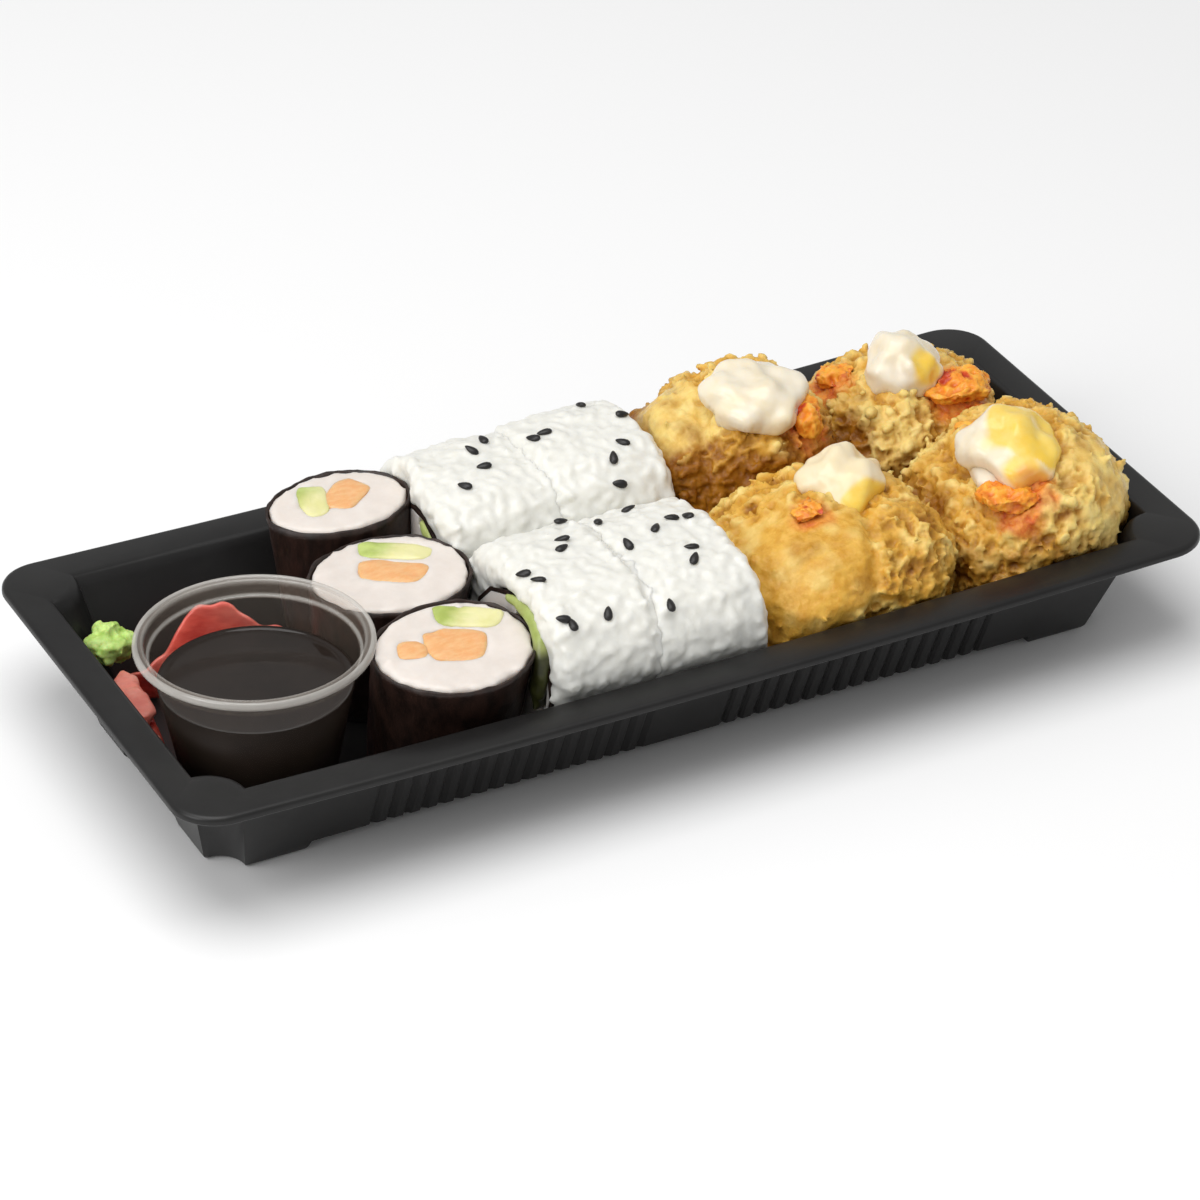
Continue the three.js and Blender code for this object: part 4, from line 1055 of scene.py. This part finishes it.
def crust_masks(points, pit, peak):
    """How brown, stained and pale the crust is; pit and peak say how far in or out it is.
    Pits are painted browner as painted shade and peaks paler as painted highlight.
    """
    skin = skin_share(points)
    brown = near_spots(points, BROWN_SPOTS, 4, 4)
    cloud = lumps(points, 6, 3)
    for lump in FRIED:
        inside = ((points[:, 0] > lump["x"][0] - 2) & (points[:, 0] < lump["x"][1] + 2)
                  & (points[:, 1] > lump["y"][0] - 2) & (points[:, 1] < lump["y"][1] + 2))
        below, fade, most = lump["brown"]
        depth = np.clip((below - points[:, 2] + 2.5 * cloud) / fade + 0.5, 0, 1) * most
        brown = np.maximum(brown, np.where(inside, depth, 0))
    # Painted shade: the pits are painted browner. Painted highlight: the peaks are painted paler.
    brown = brown + pit * (0.9 - 0.4 * skin) + np.clip(lumps(points, 4.5, 8) - 0.4, 0, 0.35)
    pale = 0.65 * near_spots(points, PALE_SPOTS, 6, 7) - pit + peak + np.clip(
        lumps(points, 3.6, 33), 0, 0.7)
    return dict(browned=brown, stained=near_spots(points, STAINED_SPOTS, 3.5, 3), pale=pale)


def crumb_shapes(count, detail):
    """Splintery crumbs with a radius of about 1."""
    shape = bmesh.new()
    bmesh.ops.create_icosphere(shape, subdivisions=detail, radius=1)
    base = np.array([corner.co for corner in shape.verts])
    faces = [tuple(corner.index for corner in face.verts) for face in shape.faces]
    shape.free()
    shapes = [base * (1 + 0.42 * lumps(base * 10, 8, 30 + i) + 0.2 * lumps(base * 10, 4, 60 + i)
                      )[:, None] for i in range(count)]
    return shapes, faces


for number, lump in enumerate(FRIED, 1):
    points, normals, faces = remeshed(f"fried_roll_{number}", CRUST_BASE_VOXEL, 6)
    line_x, line_y, slope, depth = lump["crease"]
    off_line = points[:, 0] - line_x - slope * (points[:, 1] - line_y)
    bare = moved_out(points, normals, -depth * np.exp(-(off_line / CREASE_WIDTH) ** 2))
    parts = [(bare, faces)]
    for spacing, smallest, largest, detail in CRUMBS:
        spots, facing = scattered(bare, normals, faces, spacing)
        patchy = (1 - 0.85 * skin_share(spots)) * (0.6 + 0.7 * lumps(spots, 5, 77))
        shown = ((spots[:, 2] > CRUMBS_ABOVE) & (facing[:, 2] > -0.3)
                 & (draw.random(len(spots)) < patchy))
        spots, facing = spots[shown], facing[shown]
        count = len(spots)
        size = draw.uniform(smallest, largest, count)
        sizes = np.column_stack([size * draw.uniform(1.1, 2.1, count), size * 0.9,
                                 size * draw.uniform(0.4, 0.75, count)])
        shapes, crumb_faces = crumb_shapes(CRUMB_KINDS, detail)
        parts.append(joined_copies(
            shapes, crumb_faces, moved_out(spots, facing, draw.uniform(-0.1, 0.5, count)),
            lying_frames(facing, CRUMB_TILT), sizes))
    ground = BVHTree.FromPolygons(bare.tolist(), faces)
    points, normals, faces = merged(parts, CRUST_VOXEL, 1)
    raised = np.array([ground.find_nearest(Vector(point))[3] for point in points])
    skin = skin_share(points)
    ridges = 0.5 - np.abs(lumps(points, 2.1, number + 9))
    flakes = 0.5 - np.abs(lumps(points * (1, 1, 1.3), 1.15, number + 19))
    crag = lerp(CRUST_ROUGH, SKIN_ROUGH, skin) * (
        0.8 * lumps(points, 4.2, number) + 1.1 * ridges + 0.7 * flakes - 0.3)
    points = inside_tray(moved_out(points, normals, crag), CRUST_MARGIN)
    height = crag + (raised - 0.3) * (1 - skin)
    piece = solid_piece(f"fried_roll_{number}_crust", points, faces, crust_finish,
                        [f"fried_roll_{number}"])
    # The colour masks carry painted shade in pits, joins and low down, and painted highlight on
    # crumbs.
    store(piece, **crust_masks(points, np.clip(-0.9 * height, 0, 0.7),
                               np.clip(0.6 * height - 0.15, 0, 0.6)))

# ============================================================================ MAYONNAISE
# A spoonful of thick, shiny mayonnaise dropped on each fried roll. It holds the folds that
# the spoon left, and egg yellow has run into three of them, with chilli oil in two of these.
mayonnaise_finish = new_finish(
    "spooned mayonnaise", (0.87, 0.80, 0.66), (0.87, 0.75, 0.52),
    dict(Scale=110, Balance=0.45, Softness=0.2), dict(Scale=260, Coarse_Share=0.6), (0.2, 0.5),
    [("yolk", (0.93, 0.61, 0.07), (0.90, 0.69, 0.20)),
     ("stained", (0.88, 0.50, 0.11), (0.84, 0.36, 0.07))],
    Roughness=0.24, Specular_IOR_Level=0.5, Subsurface_Weight=0.35, Subsurface_Scale=0.0018,
    Subsurface_Radius=(1, 0.85, 0.6))
MAYONNAISE_VOXEL = 0.5
MAYONNAISE_SMOOTHING = 14
MAYONNAISE_SWELL = 0.55
# fold is how deep the folds are, sag a spot that hangs out, how far round it and which way,
# yolk and stained are spots of those colours, and tint is how much yolk is stirred in.
DOLLOPS = [
    dict(fold=0.9, sag=((44, 9, 46), 7, (0, -1, -0.6)), yolk=[], stained=[]),
    dict(fold=0.7, sag=((84, 16, 43), 6, (0, -1, -1)), yolk=[((88, 16.5, 45), 5)], stained=[]),
    dict(fold=0.3, sag=((45, -24, 42), 10, (-0.8, -3.0, -1.4)), yolk=[((51, -26.5, 42), 7.5)],
         stained=[((40, -25, 42.5), 2.5), ((51, -31, 41), 2.5)], tint=0.22),
    dict(fold=0.45, sag=((84, -32, 44), 8, (0.6, -2.4, -0.6)),
         yolk=[((91, -25, 51), 11.5), ((84, -33.5, 45), 5)], stained=[((85, -36.5, 43), 5.5)]),
]
for number, dollop in enumerate(DOLLOPS, 1):
    points, normals, faces = remeshed(f"mayonnaise_{number}", MAYONNAISE_VOXEL,
                                      MAYONNAISE_SMOOTHING)
    fold = (dollop["fold"] * lumps(points * (1, 1, 1.6), 4.2, 40 + number)
            + 0.2 * lumps(points, 2, 50 + number))
    place, reach, pull = dollop["sag"]
    near = np.exp(-(np.linalg.norm(points - place, axis=1) / reach) ** 2)
    points = moved_out(points, normals, MAYONNAISE_SWELL + fold) + near[:, None] * pull
    points[:, 2] -= np.where(normals[:, 2] < -0.2, 0.8, 0)
    piece = solid_piece(f"mayonnaise_{number}_dollop", points, faces,
                        mayonnaise_finish, [f"mayonnaise_{number}"])
    store(piece, yolk=dollop.get("tint", 0) + near_spots(points, dollop["yolk"], 1.6, 4),
          stained=near_spots(points, dollop["stained"], 2.5, 3))

# ============================================================================ CHILLI PASTE
# Wet orange-red paste of pounded chilli in oil, spooned on beside the mayonnaise, with
# darker bits of skin in it and thin at the edges.
# The paler layer is painted highlight on raised lumps; the dark red layer is bits of skin and, in
# the hollows, painted shade.
chilli_finish = new_finish(
    "chilli paste", (0.95, 0.46, 0.05), (0.87, 0.27, 0.022),
    dict(Scale=330, Balance=0.5, Softness=0.14), dict(Scale=700, Coarse_Share=0.6), (0.6, 0.7),
    [("pale", (0.93, 0.54, 0.09), (0.90, 0.42, 0.05)),
     ("flakes", (0.66, 0.07, 0.012), (0.48, 0.035, 0.008))],
    Roughness=0.26, Specular_IOR_Level=0.38, Subsurface_Weight=0.1, Subsurface_Scale=0.001)
PASTE_VOXEL = 0.4
# How far each spoonful has sunk in where it lies.
PASTE_SUNK = (0.1, 0.3, 0.2, 0.9, 0.2)
# One drop fell on the fourth fried roll: its place and its half sizes.
DROP_AT = (85.4, -6.7, 41.6)
DROP_SIZE = (1.9, 2.4, 1.1)
for number, sunk in enumerate(PASTE_SUNK, 1):
    points, normals, faces = remeshed(f"chilli_paste_{number}", PASTE_VOXEL, 8)
    ridges = 0.5 - np.abs(lumps(points, 1.9, 80 + number))
    bits = 0.5 - np.abs(lumps(points, 0.85, 85 + number))
    chunk = 0.5 * lumps(points, 3.2, 70 + number) + 0.9 * ridges + 0.6 * bits - 0.3
    points = moved_out(points, normals, chunk - sunk)
    piece = solid_piece(f"chilli_paste_{number}_spooned", points, faces,
                        chilli_finish, [f"chilli_paste_{number}"])
    # Raised lumps are painted paler as painted highlight; hollows are painted dark red as painted
    # shade.
    store(piece, pale=np.clip(0.9 * chunk, 0, 0.8),
          flakes=np.clip(lumps(points, 2.2, 95) * 3 - 1.3, 0, 1) + np.clip(-chunk, 0, 0.7))
shapes, faces = crumb_shapes(1, 3)
piece = solid_piece("chilli_drop", shapes[0] * np.array(DROP_SIZE) + DROP_AT, faces,
                    chilli_finish)
store(piece, flakes=np.zeros(len(shapes[0])), pale=np.full(len(shapes[0]), 0.5))

# ============================================================================ WASABI
# A pinch of green paste, pulled off a lump and pressed against the tray's wall.
wasabi_finish = new_finish(
    "green paste", (0.72, 0.93, 0.31), (0.43, 0.66, 0.12),
    dict(Scale=380, Softness=0.2), dict(Scale=1100, Coarse_Share=0.5), (0.6, 0.6),
    Roughness=0.45, Subsurface_Weight=0.2, Subsurface_Scale=0.001)
points, normals, faces = remeshed("wasabi", PASTE_VOXEL, 4)
crag = 1.1 * np.abs(lumps(points, 3.2, 90)) + 0.6 * np.abs(lumps(points, 1.4, 91)) - 0.6
points = inside_tray(moved_out(points, normals, crag), 0)
solid_piece("wasabi_pinch", points, faces, wasabi_finish, ["wasabi"])

# ============================================================================ PICKLED GINGER
# Thin slices of ginger, pickled pink and limp, with wavy edges and paler where they are thin.
# One stands on edge behind the cup, one lies folded at its side on a deeper one, and the tail
# of a fourth lies further along the tray's end wall.

# bend is the slice's course from above, heights are its top edge's along that course, thick,
# wave and lean are how thick, how wavy and how tilted it is, and pale is where it pales.
GINGER_SLICES = [
    dict(name="ginger_back", bend=((-106, 28), (-88, 30), (-67.5, 19)), foot=FOOD_FLOOR,
         heights=(5, 7, 9, 12, 18, 20.5, 22, 17, 15), thick=1.6, wave=1.1, lean=0,
         pale=lambda share, up: 1.6 * (up - 0.78)),
    dict(name="ginger_fold", bend=((-105.2, 20.4), (-106.4, 11), (-107.2, 1.6)), foot=16.2,
         heights=(2.2, 2.6, 2.2), thick=5.4, wave=0.3, lean=0,
         pale=lambda share, up: 0.9 - 0.2 * share),
    dict(name="ginger_deep", bend=((-104.5, 16.5), (-105, 8), (-105.6, -2)), foot=FOOD_FLOOR,
         heights=(10.8, 11.2, 11), thick=3, wave=0.6, lean=0.15,
         pale=lambda share, up: 0),
    dict(name="ginger_tail", bend=((-109, -4.6), (-109.3, -9.5), (-108.6, -15)), foot=12.5,
         heights=(9.5, 8.5, 6.5), thick=1.6, wave=0.35, lean=0.25,
         pale=lambda share, up: 0.5 + 0.3 * up),
]
SLICE_STEPS = 90
SLICE_RISE = 26
ginger_finish = new_finish(
    "pickled ginger", (0.92, 0.12, 0.08), (0.70, 0.045, 0.032),
    dict(Scale=180, Softness=0.22, Stretch=(1, 1, 2.5)),
    dict(Scale=900, Coarse_Share=0.5, Stretch=(1, 1, 3)), (0.35, 0.3),
    [("pale", (0.80, 0.36, 0.28), (0.66, 0.22, 0.17))],
    Roughness=0.28, Specular_IOR_Level=0.5, Subsurface_Weight=0.4, Subsurface_Scale=0.0015,
    Subsurface_Radius=(1, 0.3, 0.2))


def slice_point(ginger, share, up, across):
    """A point of a slice: along its bend, up from its foot and across its thickness."""
    a, b, c = (np.array(point, float) for point in ginger["bend"])
    at = a * (1 - share) ** 2 + 2 * b * share * (1 - share) + c * share ** 2
    along = 2 * (b - a) * (1 - share) + 2 * (c - b) * share
    along /= np.linalg.norm(along)
    ripple = ginger["wave"] * math.sin(share * 9 + up * 2.5) * (0.3 + up)
    ripple += 0.25 * ginger["wave"] * math.sin(share * 31 + up * 4)
    off = across * ginger["thick"] * (0.35 + 0.65 * math.sin(up * math.pi) ** 0.5) + ripple
    heights = ginger["heights"]
    tall = np.interp(share * (len(heights) - 1), range(len(heights)), heights)
    climb = up * tall * (1 + 0.05 * math.sin(share * 14) + 0.02 * math.sin(share * 47))
    return (at[0] - along[1] * off - ginger["lean"] * (climb - tall / 2),
            at[1] + along[0] * off, ginger["foot"] + climb)


for ginger in GINGER_SLICES:
    rings = []
    pale = []
    ring_ups = ([(up, -0.5) for up in np.linspace(0, 1, SLICE_RISE)]
                + [(up, 0.5) for up in np.linspace(1, 0, SLICE_RISE)])
    for share in np.linspace(0, 1, SLICE_STEPS):
        squeeze = min(1, 0.25 + 6 * min(share, 1 - share))
        rings.append([slice_point(ginger, share, up, across * squeeze)
                      for up, across in ring_ups])
        pale += [ginger["pale"](share, up) for up, _ in ring_ups]
    points = inside_tray(np.array(rings).reshape(-1, 3), 0)
    piece = solid_piece(f"{ginger['name']}_slice", points,
                        loft_faces(SLICE_STEPS, 2 * SLICE_RISE),
                        ginger_finish, [ginger["name"]])
    store(piece, pale=np.array(pale) + 0.25 * lumps(points, 4, 5))

# ============================================================================ STUDIO
# A pale seamless table under wide soft lamps, and the camera that looks down on the tray.
FLOOR_HALF = 3.0
SKY_STRENGTH = 0.43
floor_finish = bpy.data.materials.new("pale table")
floor_finish.use_nodes = True
floor_shader = floor_finish.node_tree.nodes["Principled BSDF"]
floor_shader.inputs["Base Color"].default_value = (0.93, 0.93, 0.93, 1)
floor_shader.inputs["Roughness"].default_value = 0.9
floor_mesh = bpy.data.meshes.new("table")
floor_mesh.from_pydata([(-FLOOR_HALF, -FLOOR_HALF, 0), (FLOOR_HALF, -FLOOR_HALF, 0),
                        (FLOOR_HALF, FLOOR_HALF, 0), (-FLOOR_HALF, FLOOR_HALF, 0)],
                       [], [(0, 1, 2, 3)])
floor_mesh.materials.append(floor_finish)
floor = bpy.data.objects.new("table", floor_mesh)
bpy.context.collection.objects.link(floor)

world = bpy.data.worlds.new("studio")
world.use_nodes = True
sky = world.node_tree.nodes["Background"]
sky.inputs["Color"].default_value = (1, 1, 1, 1)
sky.inputs["Strength"].default_value = SKY_STRENGTH
bpy.context.scene.world = world
bpy.context.scene.view_settings.view_transform = "Standard"


def lamp(name, place, aim, size, power):
    light = bpy.data.lights.new(name, "AREA")
    light.shape = "RECTANGLE"
    light.size, light.size_y = size
    light.energy = power
    holder = bpy.data.objects.new(name, light)
    holder.location = place
    holder.rotation_euler = (Vector(aim) - Vector(place)).to_track_quat("-Z", "Y").to_euler()
    bpy.context.collection.objects.link(holder)


lamp("overhead", (-0.2, -0.05, 1.15), (0, 0, 0), (1.0, 0.8), 8.2)
lamp("window", (-1.0, -0.25, 0.75), (0, 0, 0), (0.7, 0.7), 5.8)

CAMERA_AZIMUTH = math.radians(-27.06)
CAMERA_ELEVATION = math.radians(32.26)
CAMERA_DISTANCE = 1.1493
CAMERA_LENS = 161.73
CAMERA_AIM = Vector((-0.00945, -0.01576, 0.029))
back = Vector((math.sin(CAMERA_AZIMUTH) * math.cos(CAMERA_ELEVATION),
               -math.cos(CAMERA_AZIMUTH) * math.cos(CAMERA_ELEVATION),
               math.sin(CAMERA_ELEVATION)))
lens = bpy.data.cameras.new("camera")
lens.lens = CAMERA_LENS
lens.sensor_width = 36
camera = bpy.data.objects.new("camera", lens)
camera.location = CAMERA_AIM + back * CAMERA_DISTANCE
camera.rotation_euler = (-back).to_track_quat("-Z", "Y").to_euler()
bpy.context.collection.objects.link(camera)
bpy.context.scene.camera = camera
